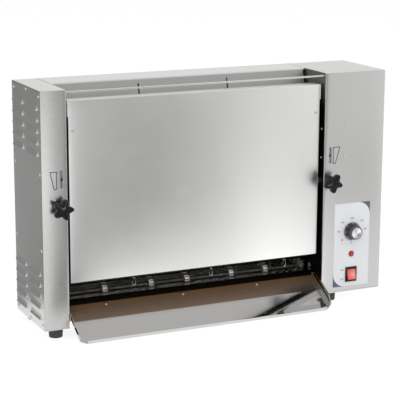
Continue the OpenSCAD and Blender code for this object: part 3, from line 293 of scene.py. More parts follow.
def tray_steel():
    """Polished tray: drawn lines along it, a lip and a top edge painted lighter as highlights, and a brown
    baked film towards the belt.
    """
    c = colours()
    low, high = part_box("landing_tray")
    f = Finish("tray_steel")
    lines = f.noise((14, 900, 900), 3.0)
    film = f.noise((24, 40, 40), 4.0)
    height = (f.z - low.z) / (high.z - low.z)
    brown = f.ramp(height + film * 0.12, (0.50, 0.0), (0.96, 1.0))
    lip_depth, rim_depth = 0.0038, 0.0016
    # Painted highlight: the lip in lighter brushed steel, and a pale, less metallic line along the top edge
    lip = f.y < low.y + lip_depth
    rim = f.z > high.z - rim_depth
    clean = f.mix(f.mix(shade(c.polished, 0.74), shade(c.polished, 0.84), lines), shade(c.steel, 0.86), lip)
    f.set(
        Base_Color=f.mix(f.mix(clean, (0.36, 0.19, 0.065), brown), (0.46, 0.43, 0.39), rim),
        Metallic=1.0 - brown * 0.42 - rim * 0.3,
        Roughness=0.02 + lines * 0.03 + film * 0.02 + brown * 0.06,
    )
    return f.bump(lines * 2e-6)


def fading(distance, reach):
    """1 at no distance, and less with each reach from there."""
    return math.e ** (distance * (-1.0 / reach))


def near(value, place, reach):
    """1 at a place on an axis, and less with each reach from it."""
    return fading(abs(value - place), reach)


def panel_form(f):
    """Pressed front panel: flat, and drawn over a little at its folds."""
    low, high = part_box("front_panel")
    mid = (low.x + high.x) / 2
    bow = (f.x - mid) * (f.x - mid) * -0.05
    sides = near(f.x, low.x + 0.002, 0.010) * -0.0009 + near(f.x, high.x - 0.002, 0.008) * -0.0006
    ends = near(f.z, low.z, 0.012) * -0.0006 + near(f.z, high.z, 0.010) * -0.0005
    return bow + sides + ends


def column_form(f):
    """Left column: drawn over well at its outer fold."""
    low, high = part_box("left_housing")
    return near(f.x, low.x, 0.020) * -0.0042 + near(f.x, high.x, 0.002) * -0.0006


def box_form(f):
    """Control box: drawn over a little at both folds."""
    low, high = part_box("right_housing")
    return near(f.x, low.x, 0.003) * -0.0011 + near(f.x, high.x, 0.014) * -0.0012


def column_painted_shade(f):
    """Painted shade on the wall beside the heater, dark below the panel's top edge."""
    return (f.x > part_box("left_housing")[1].x - WALL) * wall_painted_shade(f)


def box_painted_shade(f):
    # Painted shade on the control box's inner wall, dark below the panel's top edge
    return (f.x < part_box("right_housing")[0].x + WALL) * wall_painted_shade(f)


def wall_painted_shade(f):
    """Painted shade behind the front face, black at the bottom and fading towards the top."""
    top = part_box("front_panel")[1].z
    return (f.y > FRONT + 0.003) * f.ramp((f.z - top) * 12.0 + 0.6, (0.0, 1.0), (0.7, 0.55))


def rail_painted_shade(f):
    """Painted shade on the guide, below the rail's top face."""
    return (f.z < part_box("rear_guide")[1].z - 0.0025) * 0.36


def plastic(name, colour, rough, fine=900, depth=4e-6, gloss=0.5):
    """Moulded plastic: a faint mould texture, dust in patches and fine scuffs."""
    f = Finish(name)
    texture = f.noise(fine, 3.0)
    dust = f.ramp(f.noise(60, 4.0), (0.50, 0.0), (0.80, 1.0))
    scuff = f.ramp(f.noise((140, 900, 500), 3.0), (0.62, 0.0), (0.70, 1.0))
    dusty = tuple(c * 1.1 + 0.006 for c in colour)
    f.set(
        Base_Color=f.mix(shade(colour, 0.8), dusty, dust * 0.5 + texture * 0.3),
        Roughness=rough + dust * 0.06 + scuff * 0.05,
        Specular_IOR_Level=gloss,
    )
    return f.bump(texture * depth)


def plain_metal(name, colour, rough, fine=500, depth=6e-6, tarnish=0.25, darker=0.6):
    """Turned, drawn or cast metal with tarnish in patches."""
    f = Finish(name)
    texture = f.noise(fine, 3.0)
    patch = f.ramp(f.noise(45, 4.0), (0.42, 0.0), (0.72, 1.0))
    f.set(
        Base_Color=f.mix(colour, shade(colour, darker), patch * tarnish + texture * 0.15),
        Metallic=1.0,
        Roughness=rough + patch * 0.12 + texture * 0.08,
    )
    return f.bump(texture * depth)


def matte(name, colour, rough, fine=700, depth=2e-5, other=0.8, patches=30):
    """Fibre, ceramic, paint or rubber."""
    f = Finish(name)
    texture = f.noise(fine, 4.0)
    patch = f.noise(patches, 3.0)
    f.set(
        Base_Color=f.mix(shade(colour, other), shade(colour, 2.0 - other), texture * 0.5 + patch * 0.5),
        Roughness=rough + patch * 0.12,
    )
    return f.bump(texture * depth)


def label_film():
    """White label with a slate piece in two corners, cut off by a quarter round."""
    c = colours()
    low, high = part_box("control_label")
    f = Finish("label_film")
    mid = middle("control_label")
    radius = 0.029

    def corner(x, z):
        """What a corner's quarter round leaves outside."""
        inside = (abs(f.x - x) < radius) * (abs(f.z - z) < radius)
        inward_x = x + math.copysign(radius, mid.x - x)
        inward_z = z + math.copysign(radius, mid.z - z)
        return inside * (f.away(inward_x, inward_z) > radius)

    mask = corner(high.x, high.z) + corner(low.x, low.z)
    fleck = f.noise(1500, 2.0)
    worn = f.noise(35, 3.0)
    sheet = f.mix(shade(c.paper, 0.96), shade(c.paper, 1.03), fleck * 0.5 + worn * 0.5)
    slate = f.mix(shade(c.blue, 0.9), shade(c.blue, 1.12), fleck)
    f.set(Base_Color=f.mix(sheet, slate, mask), Roughness=0.34 + worn * 0.12)
    return f.bump(fleck * 3e-6)


def spun_cap():
    """Turned face: rings round the dial's axis, and a painted highlight in two bright wedges across it."""
    c = colours()
    mid = middle("dial_cap")
    f = Finish("cap_silver")
    place = f.at.add("ShaderNodeCombineXYZ", None, {0: f.away(mid.x, mid.z)})
    rings = f.noise((2600, 1, 1), 3.0, place)
    around = f.at.math("ARCTAN2", f.z - mid.z, f.x - mid.x)
    # Painted highlight: lighter in two wedges round the axis
    painted_sheen = f.at.math("SINE", around * 2.0 + 0.6) * 0.5 + 0.5
    f.set(
        Base_Color=f.mix(shade(c.silver, 0.60), shade(c.silver, 1.10), rings * 0.3 + painted_sheen * 0.7),
        Metallic=1.0,
        Roughness=0.20 + rings * 0.14,
    )
    return f.bump(rings * 1.2e-5)


def lit_red(name, glow, centre, spread, window=None):
    """Red translucent plastic with a lamp behind it, painted black as shade outside its window."""
    c = colours()
    f = Finish(name)
    heart = fading(f.away(*centre), spread)
    texture = f.noise(800, 2.0)
    warm = f.mix(c.red, (0.68, 1.0, 0.96), heart)
    red = f.mix(shade(c.red, 0.85), shade(c.red, 1.2), texture)
    if window:
        left, right, low, high = window
        # Painted shade: black outside the window
        mask = (f.x > left) * (f.x < right) * (f.z > low) * (f.z < high)
        warm = f.mix((0.0, 0.0, 0.0), warm, mask)
        red = f.mix(c.black, red, mask)
    f.set(
        Base_Color=red,
        Roughness=0.16 + texture * 0.10,
        Emission_Color=warm,
        Emission_Strength=glow,
    )
    return f.bump(texture * 3e-6)


def release_cloth():
    """Coated glass cloth: a plain weave."""
    f = Finish("release_cloth")
    threads = 5200.0
    warp = f.at.math("SINE", f.x * threads)
    weft = f.at.math("SINE", f.z * threads)
    weave = warp * weft * 0.5 + 0.5
    brown = f.noise(30, 3.0)
    f.set(
        Base_Color=f.mix((0.16, 0.10, 0.055), (0.26, 0.17, 0.09), weave * 0.4 + brown * 0.6),
        Roughness=0.42 + brown * 0.15,
    )
    return f.bump(weave * 3e-5)


def make_finishes():
    """Every finish of the toaster, by the name of its slot."""
    c = colours()
    # Painted light and shade: the panel's steel is painted lighter, and the housings' and the guide's darker,
    # than plain stainless
    brushed("panel_steel", shade(c.steel, 1.1), 0.31, panel_form)
    brushed("column_steel", shade(c.steel, 0.8), 0.28, column_form, column_painted_shade)
    brushed("box_steel", shade(c.steel, 0.8), 0.31, box_form, box_painted_shade)
    brushed("stainless", c.steel, 0.33)
    brushed("rail_steel", shade(c.steel, 0.85), 0.30, None, rail_painted_shade)
    tray_steel()
    plain_metal("rail_polish", shade(c.polished, 0.62), 0.10, (14, 900, 900), 2e-6, 0.35, 0.6)
    plain_metal("rod_steel", c.polished, 0.16, (60, 2500, 2500), 4e-6, 0.10, 0.8)
    plain_metal("screw_steel", shade(c.polished, 1.1), 0.20, 900, 3e-6, 0.10, 0.8)
    plain_metal("dark_steel", c.dark_steel, 0.50, (30, 900, 900), 1e-5, 0.5, 0.4)
    plain_metal("belt_steel", c.belt, 0.38, (80, 1800, 1800), 5e-6, 0.6, 0.35)
    plain_metal("chain_steel", shade(c.belt, 0.7), 0.36, 900, 6e-6, 0.5, 0.4)
    # The wheels' colour is painted light, lighter than cast metal
    plain_metal("wheel_metal", c.wheel, 0.34, 700, 1e-5, 0.2, 0.7)
    plain_metal("plate_metal", (0.40, 0.385, 0.365), 0.45, (40, 40, 900), 1e-5, 0.4, 0.6)
    plain_metal("heater_sheath", (0.20, 0.17, 0.15), 0.48, 900, 8e-6, 0.5, 0.5)
    plain_metal("bulb_copper", (0.72, 0.36, 0.20), 0.30, 600, 5e-6, 0.4, 0.5)
    plain_metal("bush_bronze", (0.55, 0.38, 0.18), 0.34, 700, 6e-6, 0.4, 0.6)
    plastic("black_gloss", shade(c.black, 0.55), 0.22, 600, 2e-6, 0.14)
    # Painted sheen: the dial's black is painted lighter than the knobs', beside its real stronger gloss
    plastic("dial_black", shade(c.black, 2.4), 0.28, 600, 2e-6, 1.0)
    plastic("black_matte", shade(c.black, 1.4), 0.40, 1200, 1e-5, 0.3)
    matte("foot_rubber", c.rubber, 0.68, 900, 2e-5, 0.75)
    matte("scale_grey", (0.33, 0.335, 0.34), 0.50, 900, 6e-6, 0.9)
    matte("board_fibre", (0.52, 0.47, 0.38), 0.85, (300, 300, 1200), 6e-5, 0.75)
    matte("ceramic_white", (0.72, 0.70, 0.66), 0.40, 600, 1e-5, 0.92)
    matte("motor_grey", (0.16, 0.17, 0.18), 0.42, 500, 2e-5, 0.85)
    matte("ink", c.ink, 0.45, 1800, 2e-6, 0.8)
    matte("mark_white", (0.82, 0.82, 0.80), 0.45, 1500, 3e-6, 0.94)
    label_film()
    spun_cap()
    release_cloth()
    low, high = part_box("rocker")
    # The rocker's left and top edges lie outside the window, painted black as shade
    left, right, bottom, top = low.x + 0.0030, high.x - 0.0004, low.z + 0.0008, high.z - 0.0024
    bulb = (left * 0.35 + right * 0.65, (bottom + top) / 2)
    lit_red("red_rocker", 0.44, bulb, 0.0075, (left, right, bottom, top))
    lens = middle("pilot_lens")
    lit_red("red_lens", 0.02, (lens.x, lens.z), 0.003)


# Modelling


def only(*objects):
    """Leaves just these objects selected, the first one active."""
    if bpy.context.object and bpy.context.object.mode != "OBJECT":
        bpy.ops.object.mode_set(mode="OBJECT")
    bpy.ops.object.select_all(action="DESELECT")
    for obj in objects:
        obj.select_set(True)
    bpy.context.view_layer.objects.active = objects[0] if objects else None


def edit(obj):
    only(obj)
    bpy.ops.object.mode_set(mode="EDIT")
    bpy.ops.mesh.select_all(action="SELECT")


def pick(obj, faces=None, edges=None):
    """In edit mode, selects just the faces or edges that pass a test."""
    bpy.ops.mesh.select_mode(type="FACE" if faces else "EDGE")
    bpy.ops.mesh.select_all(action="DESELECT")
    shape = bmesh.from_edit_mesh(obj.data)
    count = 0
    for item in shape.faces if faces else shape.edges:
        if (faces or edges)(item):
            item.select_set(True)
            count += 1
    shape.select_flush_mode()
    bmesh.update_edit_mesh(obj.data)
    return count


def done(obj):
    if obj.mode != "OBJECT":
        bpy.ops.object.mode_set(mode="OBJECT")
    only(obj)
    bpy.ops.object.transform_apply(location=True, rotation=True, scale=True)
    return obj


def smooth(obj, angle=35):
    only(obj)
    bpy.ops.object.shade_smooth_by_angle(angle=math.radians(angle))
    return obj


def level_normals(obj, angle=50):
    """Smooth over the rounded edges, with flat faces left flat."""
    smooth(obj, angle)
    weigh = obj.modifiers.new("level", "WEIGHTED_NORMAL")
    weigh.keep_sharp = True
    weigh.weight = 100
    bpy.ops.object.modifier_apply(modifier=weigh.name)
    return obj


def round_edges(obj, width, angle=40, segments=2):
    """Bevel modifier on the sharp edges, applied."""
    only(obj)
    bevel = obj.modifiers.new("edges", "BEVEL")
    bevel.width = width
    bevel.segments = segments
    bevel.limit_method = "ANGLE"
    bevel.angle_limit = math.radians(angle)
    bevel.use_clamp_overlap = True
    bevel.miter_outer = "MITER_ARC"
    bpy.ops.object.modifier_apply(modifier=bevel.name)
    return obj


def cut(obj, *cutters):
    """Takes the cutters out of a piece."""
    for cutter in cutters:
        only(obj)
        knife = obj.modifiers.new("cut", "BOOLEAN")
        knife.operation = "DIFFERENCE"
        knife.object = cutter
        knife.solver = "EXACT"
        bpy.ops.object.modifier_apply(modifier=knife.name)
        bpy.data.objects.remove(cutter)
    return obj


def join(name, pieces):
    only(*pieces)
    if len(pieces) > 1:
        bpy.ops.object.join()
    made = bpy.context.object
    made.name = name
    return done(made)


def copy_of(obj, matrix):
    """A copy with a mesh of its own."""
    made = obj.copy()
    made.data = obj.data.copy()
    bpy.context.scene.collection.objects.link(made)
    made.matrix_world = matrix
    return made


def primitive(add, **settings):
    """A new primitive, with nothing else selected."""
    only()
    add(**settings)
    return bpy.context.object


def cylinder(sides, radius, depth, **place):
    return primitive(bpy.ops.mesh.primitive_cylinder_add, vertices=sides, radius=radius, depth=depth, **place)


def turned(sides, radius, depth, ease, segments, end=1):
    """A round piece along Z with its upper or lower end eased, left in edit mode."""
    made = cylinder(sides, radius, depth)
    edit(made)
    pick(made, edges=lambda e: all(v.co.z * end > 0 for v in e.verts))
    bpy.ops.mesh.bevel(offset=ease, segments=segments, affect="EDGES")
    return made


def block(low, high):
    """A box between two corners, ready to be shaped."""
    low, high = Vector(low), Vector(high)
    made = primitive(bpy.ops.mesh.primitive_cube_add, size=1.0, location=(low + high) / 2)
    made.scale = high - low
    return done(made)


def dress(obj, finish, body="frame", replaces=()):
    """Gives a finished piece its material, slot and body, and hides the nodes that it stands for."""
    obj.data.materials.clear()
    obj.data.materials.append(FINISHES[finish])
    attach(obj, body)
    if replaces:
        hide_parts(*replaces)
    return obj


def merged(node, name, gap=2e-5, flat=1.5):
    """A copy of a CAD node as one welded mesh, with faces joined that lie flat to within some degrees."""
    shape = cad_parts[node].data.copy()
    shape.materials.clear()
    made = bpy.data.objects.new(name, shape)
    bpy.context.scene.collection.objects.link(made)
    edit(made)
    bpy.ops.mesh.remove_doubles(threshold=gap)
    bpy.ops.mesh.customdata_custom_splitnormals_clear()
    bpy.ops.mesh.dissolve_limited(angle_limit=math.radians(flat))
    bpy.ops.object.mode_set(mode="OBJECT")
    return made


def folded(node, name, radius, long=0.02, broad=0.004, bent=15):
    """A welded copy of a sheet whose long outer folds, between broad faces, are rounded."""
    made = merged(node, name)
    edit(made)

    def fold(e):
        if len(e.link_faces) != 2 or not e.is_convex or e.calc_length() < long:
            return False
        wide = all(face.calc_area() / e.calc_length() > broad for face in e.link_faces)
        return wide and e.calc_face_angle(0.0) > math.radians(bent)

    if not pick(made, edges=fold):
        raise RuntimeError(f"{node} has no fold to round")
    bpy.ops.mesh.bevel(offset=radius, segments=3, profile=0.5, affect="EDGES", clamp_overlap=True)
    bpy.ops.object.mode_set(mode="OBJECT")
    return level_normals(made)


def softened(node, name, radius, segments=2):
    """A welded copy of a moulded or turned node with all its edges eased."""
    made = merged(node, name)
    round_edges(made, radius, segments=segments)
    return level_normals(made)


def solids(node):
    """The points of each separate solid in a CAD node."""
    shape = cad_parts[node].data
    points = [tuple(round(c, 5) for c in v.co) for v in shape.vertices]
    above = {p: p for p in points}

    def top(p):
        while above[p] != p:
            above[p] = above[above[p]]
            p = above[p]
        return p

    for face in shape.polygons:
        first = top(points[face.vertices[0]])
        for i in face.vertices[1:]:
            above[top(points[i])] = first
    found = {}
    for p in above:
        found.setdefault(top(p), []).append(Vector(p))
    return list(found.values())


def bent_wire(name, points, radius, sides=1):
    """A round wire along straight runs, made a mesh."""
    curve = bpy.data.curves.new(name, "CURVE")
    curve.dimensions = "3D"
    run = curve.splines.new("POLY")
    run.points.add(len(points) - 1)
    for knot, place in zip(run.points, points):
        knot.co = (*place, 1.0)
    curve.bevel_depth = radius
    curve.bevel_resolution = sides
    curve.use_fill_caps = True
    made = bpy.data.objects.new(name, curve)
    bpy.context.scene.collection.objects.link(made)
    only(made)
    bpy.ops.object.convert(target="MESH")
    return smooth(bpy.context.object, 60)


# Pieces


class TOASTER_OT_finishes(Operator):
    """Make the finishes and put them on the CAD nodes that keep their shape"""

    bl_idname = "toaster.finishes"
    bl_label = "Finishes"

    NODES = {
        "stainless": (
            "base_pan left_side_cover right_side_cover rear_cover motor_bracket left_carriage_arm "
            "right_carriage_arm left_pointer_guide right_pointer_bracket"
        ),
        "rail_polish": "tray_rails",
        "rod_steel": "guide_rod left_spindle right_spindle thermostat_shaft",
        # Painted shade: the belt backing and chute bracket are painted near black
        "dark_steel": "belt_backing chute_bracket",
        "chain_steel": "drive_chain motor_sprocket drive_sprocket element_clamps drive_shaft idler_shaft",
        "wheel_metal": "drive_wheels idler_wheels",
        "plate_metal": "platen thermostat_body",
        "heater_sheath": "heating_elements",
        "bulb_copper": "temperature_bulb",
        "bush_bronze": "spindle_bushes shaft_bushes",
        "black_matte": "left_pointer right_pointer pilot_body",
        "label_film": "control_label",
        "board_fibre": "insulation_board",
        "ceramic_white": "terminal_block",
        "motor_grey": "gearmotor",
    }

    def execute(self, context):
        make_finishes()
        for finish, names in self.NODES.items():
            for name in names.split():
                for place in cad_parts[name].material_slots:
                    place.material = FINISHES[finish]
        return {"FINISHED"}


class TOASTER_OT_sheet_metal(Operator):
    """Housings, front panel, tray and rear guide with rounded folds"""

    bl_idname = "toaster.sheet_metal"
    bl_label = "Sheet metal"

    def execute(self, context):
        fold = sizes().fold
        for node, name, finish, body in (
            ("left_housing", "left_column", "column_steel", "frame"),
            ("right_housing", "control_box", "box_steel", "frame"),
            ("front_panel", "pressed_front", "panel_steel", "carriage"),
            ("landing_tray", "polished_tray", "tray_steel", "frame"),
            ("rear_guide", "top_rail", "rail_steel", "frame"),
        ):
            dress(folded(node, name, fold), finish, body, [node])
        return {"FINISHED"}


class TOASTER_OT_screws(Operator):
    """Pan-head screws with a cross recess, in place of the plain ones"""

    bl_idname = "toaster.screws"
    bl_label = "Screws"

    def pan_screw(self):
        """One screw, with the top of its head at the origin and its axis along Z."""
        radius, head, shank, shank_length = 0.003, 0.0018, 0.0014, 0.003
        made = cylinder(20, radius, head, location=(0, 0, -head / 2))
        edit(made)
        pick(made, edges=lambda e: all(v.co.z > head * 0.4 for v in e.verts))
        bpy.ops.mesh.bevel(offset=head * 0.62, segments=3, profile=0.55, affect="EDGES", clamp_overlap=False)
        pick(made, faces=lambda f: f.normal.z < -0.9)
        bpy.ops.mesh.inset(thickness=radius - shank)
        bpy.ops.mesh.extrude_region_move(TRANSFORM_OT_translate={"value": (0, 0, -shank_length)})
        done(made)
        slim, long, deep = 0.00042, 0.0019, 0.0009
        arms = [block((-x, -y, -deep), (x, y, 0.001)) for x, y in ((long, slim), (slim, long))]
        return smooth(cut(made, *arms), 40)

    def execute(self, context):
        master = self.pan_screw()
        rim_depth, screw_turn = 2e-4, 2.4
        flat = max(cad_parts["landing_tray"].data.polygons, key=lambda p: p.area).normal
        tray_up = flat * math.copysign(1.0, flat.z)
        for node, name, body, outward in (
            ("cover_screws", "side_screws", "frame", lambda mid: (math.copysign(1, mid.x), 0, 0)),
            ("rear_cover_screws", "back_screws", "frame", lambda mid: (0, 1, 0)),
            ("bracket_screws", "box_screws", "frame", self.bracket_side),
            ("panel_screws", "front_screws", "carriage", lambda mid: (0, -1, 0)),
            ("tray_screws", "chute_screws", "frame", lambda mid: tray_up),
            ("foot_screws", "under_screws", "frame", lambda mid: (0, 0, -1)),
        ):
            copies = []
            for i, points in enumerate(solids(node)):
                mid = sum(points, Vector()) / len(points)
                axis = Vector(outward(mid))
                reach = max(p.dot(axis) for p in points)
                rim = [p for p in points if p.dot(axis) > reach - rim_depth]
                head = sum(rim, Vector()) / len(rim)
                facing = axis.to_track_quat("Z", "Y").to_matrix().to_4x4()
                turn = Matrix.Rotation(i * screw_turn, 4, "Z")
                copies.append(copy_of(master, Matrix.Translation(head) @ facing @ turn))
            dress(join(name, copies), "screw_steel", body, [node])
        bpy.data.objects.remove(master)
        return {"FINISHED"}

    def bracket_side(self, mid):
        """The bracket's screws enter from the front or through the inner wall."""
        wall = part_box("right_housing")[0]
        return (-1, 0, 0) if mid.x < wall.x + 0.004 else (0, -1, 0)


class TOASTER_OT_star_knobs(Operator):
    """Star knobs with a crowned face and a turned boss"""

    bl_idname = "toaster.star_knobs"
    bl_label = "Star knobs"

    def profile(self, thick):
        """From the middle of the face to the middle of the back: share of the outline, and height."""
        s = sizes()
        top, rim = thick - s.knob_dome, 0.84
        face = [(rim * k / 7, top + s.knob_dome * (1 - (k / 7) ** 2)) for k in range(8)]
        turns = [math.pi / 2 * k / 5 for k in range(1, 6)]
        edge = [(rim + (1 - rim) * math.sin(a), top - s.knob_round * (1 - math.cos(a))) for a in turns]
        back = [(1.0, thick * 0.4), (1.0, 0.0012), (0.985, 0.0004), (0.95, 0.0), (0.5, 0.0), (0.0, 0.0)]
        return face + edge + back

    def execute(self, context):
        lobes, mean, thick, boss_radius = 5, 0.80, 0.0162, 0.009
        for side in ("left", "right"):
            node = side + "_knob"
            low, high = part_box(node)
            mid = middle(side + "_spindle")
            arms = [(v.co.x - mid.x, v.co.z - mid.z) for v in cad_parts[node].data.vertices]
            lobe = max(arms, key=lambda p: math.hypot(*p))
            tip, first = math.hypot(*lobe), math.atan2(lobe[1], lobe[0])
            steps = self.profile(thick)
            rings = len(steps) - 1
            made = primitive(bpy.ops.mesh.primitive_uv_sphere_add, segments=80, ring_count=rings, radius=1.0)
            for v in made.data.vertices:
                turn = math.atan2(v.co.y, v.co.x)
                down = math.acos(max(-1.0, min(1.0, v.co.z))) / math.pi
                share, height = steps[round(down * rings)]
                wave = lobes * (turn - first)
                star = tip * (mean + 0.186 * math.cos(wave) + 0.014 * math.cos(2 * wave))
                blend = min(1.0, share / 0.8) ** 2
                out = share * (tip * mean * (1 - blend) + star * blend)
                v.co = (out * math.cos(turn), out * math.sin(turn), height)
            smooth(done(made), 60)
            boss = turned(36, boss_radius, high.y - low.y - thick + 0.001, 0.0012, 2, -1)
            smooth(done(boss), 40)
            made.matrix_world = Matrix.Translation((mid.x, low.y + thick, mid.z)) @ FACE_FRONT
            boss.matrix_world = Matrix.Translation((mid.x, (low.y + thick + high.y) / 2, mid.z)) @ FACE_FRONT
            star = join(side + "_star", [done(made), done(boss)])
            dress(star, "black_gloss", side + "_adjuster", [node])
        return {"FINISHED"}


class TOASTER_OT_scales(Operator):
    """Grey strips in the scale slots and the wedge outlines beside them"""

    bl_idname = "toaster.scales"
    bl_label = "Scales"

    def execute(self, context):
        rise = sizes().print_rise
        inner, outer, half_height, blunt_end, line, corner = 0.0007, 0.0034, 0.0174, 0.0070, 0.0016, 0.0017
        for side, slot_x, edge, far, low_h, high_h in (
            ("left", -0.3495, -0.3583, -0.3739, 0.2880, 0.3247),
            ("right", 0.2590, 0.2655, 0.2830, 0.2890, 0.3257),
        ):
            mid_z = middle(side + "_pointer").z
            halves = []
            for left, right in ((-outer, -inner), (inner, outer)):
                strip = block(
                    (slot_x + left, FRONT + 0.0005, mid_z - half_height),
                    (slot_x + right, FRONT + 0.0010, mid_z + half_height),
                )
                halves.append(round_edges(strip, 0.00012))
            dress(join(side + "_scale_strip", halves), "scale_grey", "frame")
            wedge = primitive(bpy.ops.mesh.primitive_circle_add, vertices=4, radius=0.02, fill_type="NGON")
            blunt = edge + math.copysign(blunt_end, far - edge)
            corners = [(edge, low_h), (edge, high_h), (far, high_h), (blunt, low_h)]
            for v, (x, h) in zip(wedge.data.vertices, corners):
                v.co = (x, FRONT - rise, BASE + h)
            edit(wedge)
            bpy.ops.mesh.bevel(offset=corner, segments=4, affect="VERTICES")
            bpy.ops.mesh.select_all(action="SELECT")
            bpy.ops.mesh.normals_make_consistent(inside=False)
            bpy.ops.mesh.inset(thickness=line)
            bpy.ops.mesh.delete(type="FACE")
            bpy.ops.mesh.select_all(action="SELECT")
            bpy.ops.mesh.extrude_region_move(TRANSFORM_OT_translate={"value": (0, rise * 1.3, 0)})
            bpy.ops.mesh.select_all(action="SELECT")
            bpy.ops.mesh.normals_make_consistent(inside=False)
            dress(done(wedge), "ink", "frame").name = side + "_wedge"
        return {"FINISHED"}


class TOASTER_OT_controls(Operator):
    """Dial with its cap and marks, pilot lens, rocker, bezel and the print on the label"""

    bl_idname = "toaster.controls"
    bl_label = "Controls"

    # Each figure, and its place beside and above the dial's axis
    FIGURES = (
        ("0", 0.0, -0.0270), ("50", -0.0240, -0.0186), ("100", -0.0335, 0.0013), ("150", -0.0245, 0.0210),
        ("200", 0.0, 0.0285), ("250", 0.0248, 0.0210), ("300", 0.0335, 0.0018),
    )

    def words(self, text, x, z, height, y):
        """Print as a thin mesh that faces the front."""
        only()
        bpy.ops.object.text_add(location=(0, 0, 0))
        made = bpy.context.object
        made.data.body = text
        made.data.align_x = "CENTER"
        made.data.align_y = "CENTER"
        made.data.size = height
        made.data.resolution_u = 3
        made.data.extrude = sizes().print_rise / 2
        bpy.ops.object.convert(target="MESH")
        made = bpy.context.object
        made.matrix_world = Matrix.Translation((x, y, z)) @ FACE_FRONT
        return done(made)

    def execute(self, context):
        s = sizes()
        cap, lens, bezel = (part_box(n) for n in ("dial_cap", "pilot_lens", "switch_body"))
        hub, lens_at = middle("dial_cap"), middle("pilot_lens")
        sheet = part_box("control_label")[0].y
        grip = softened("dial_knob", "dial_grip", 0.0004)
        dress(grip, "dial_black", "thermostat_dial", ["dial_knob"])

        made = turned(48, cap[1].x - hub.x, cap[1].y - cap[0].y, 0.0005, 3)
        pick(made, faces=lambda f: f.normal.z > 0.9 and len(f.verts) > 20)
        bpy.ops.mesh.inset(thickness=0.0018)
        bpy.ops.mesh.inset(thickness=0.0004, depth=-0.00025)
        made.matrix_world = Matrix.Translation(hub) @ FACE_FRONT
        smooth(done(made), 40)
        dress(made, "cap_silver", "thermostat_dial", ["dial_cap"]).name = "spun_cap"

        on_axis = Matrix.Translation((hub.x, 0, hub.z))
        marks = []
        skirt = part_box("dial_knob")[1].y - 0.003
        half, depth, outer = 0.0005, 0.00006, 0.0189
        for i in range(7):
            inner = 0.0160 if i else 0.0152
            bar = block((-half, skirt - depth, -outer), (half, skirt + depth, -inner))
            bar.matrix_world = on_axis @ Matrix.Rotation(math.radians(45 * i), 4, "Y")
            marks.append(done(bar))
        dress(join("dial_marks", marks), "mark_white", "thermostat_dial")

        radius = (lens[1].x - lens[0].x) / 2
        dome = turned(32, radius * 0.84, lens[1].y - lens[0].y, radius * 0.42, 4)
        dome.matrix_world = Matrix.Translation(lens_at) @ FACE_FRONT
        dress(smooth(done(dome), 50), "red_lens", "frame", ["pilot_lens"]).name = "lens_dome"
        ring = primitive(
            bpy.ops.mesh.primitive_torus_add, major_radius=radius * 0.90, minor_radius=radius * 0.13,
            major_segments=40, minor_segments=10, rotation=UPRIGHT,
            location=(lens_at.x, sheet - radius * 0.11, lens_at.z),
        )
        dress(smooth(done(ring), 80), "black_gloss", "frame").name = "lens_ring"

        dress(softened("rocker", "rocker_cap", 0.0007, 3), "red_rocker", "switch_rocker", ["rocker"])
        dress(softened("switch_body", "switch_bezel", 0.0006), "black_matte", "frame", ["switch_body"])

        ink = []
        for text, x, z in self.FIGURES:
            ink.append(self.words(text, hub.x + x, hub.z + z, s.figure, sheet))
        half, depth, inner = 0.00018, 3e-5, 0.0206
        for i in range(31):
            outer = 0.0226 if i % 5 else 0.0238
            tick = block((-half, sheet - depth, -outer), (half, sheet + depth, -inner))
            tick.matrix_world = on_axis @ Matrix.Rotation(math.radians(9 * i), 4, "Y")
            ink.append(done(tick))
        ink.append(self.words("ON", bezel[0].x - 0.0080, bezel[1].z - 0.0060, s.figure * 0.9, sheet))
        ink.append(self.words("OFF", bezel[0].x - 0.0085, bezel[0].z + 0.0060, s.figure * 0.9, sheet))
        dress(join("label_print", ink), "ink", "frame")
        return {"FINISHED"}


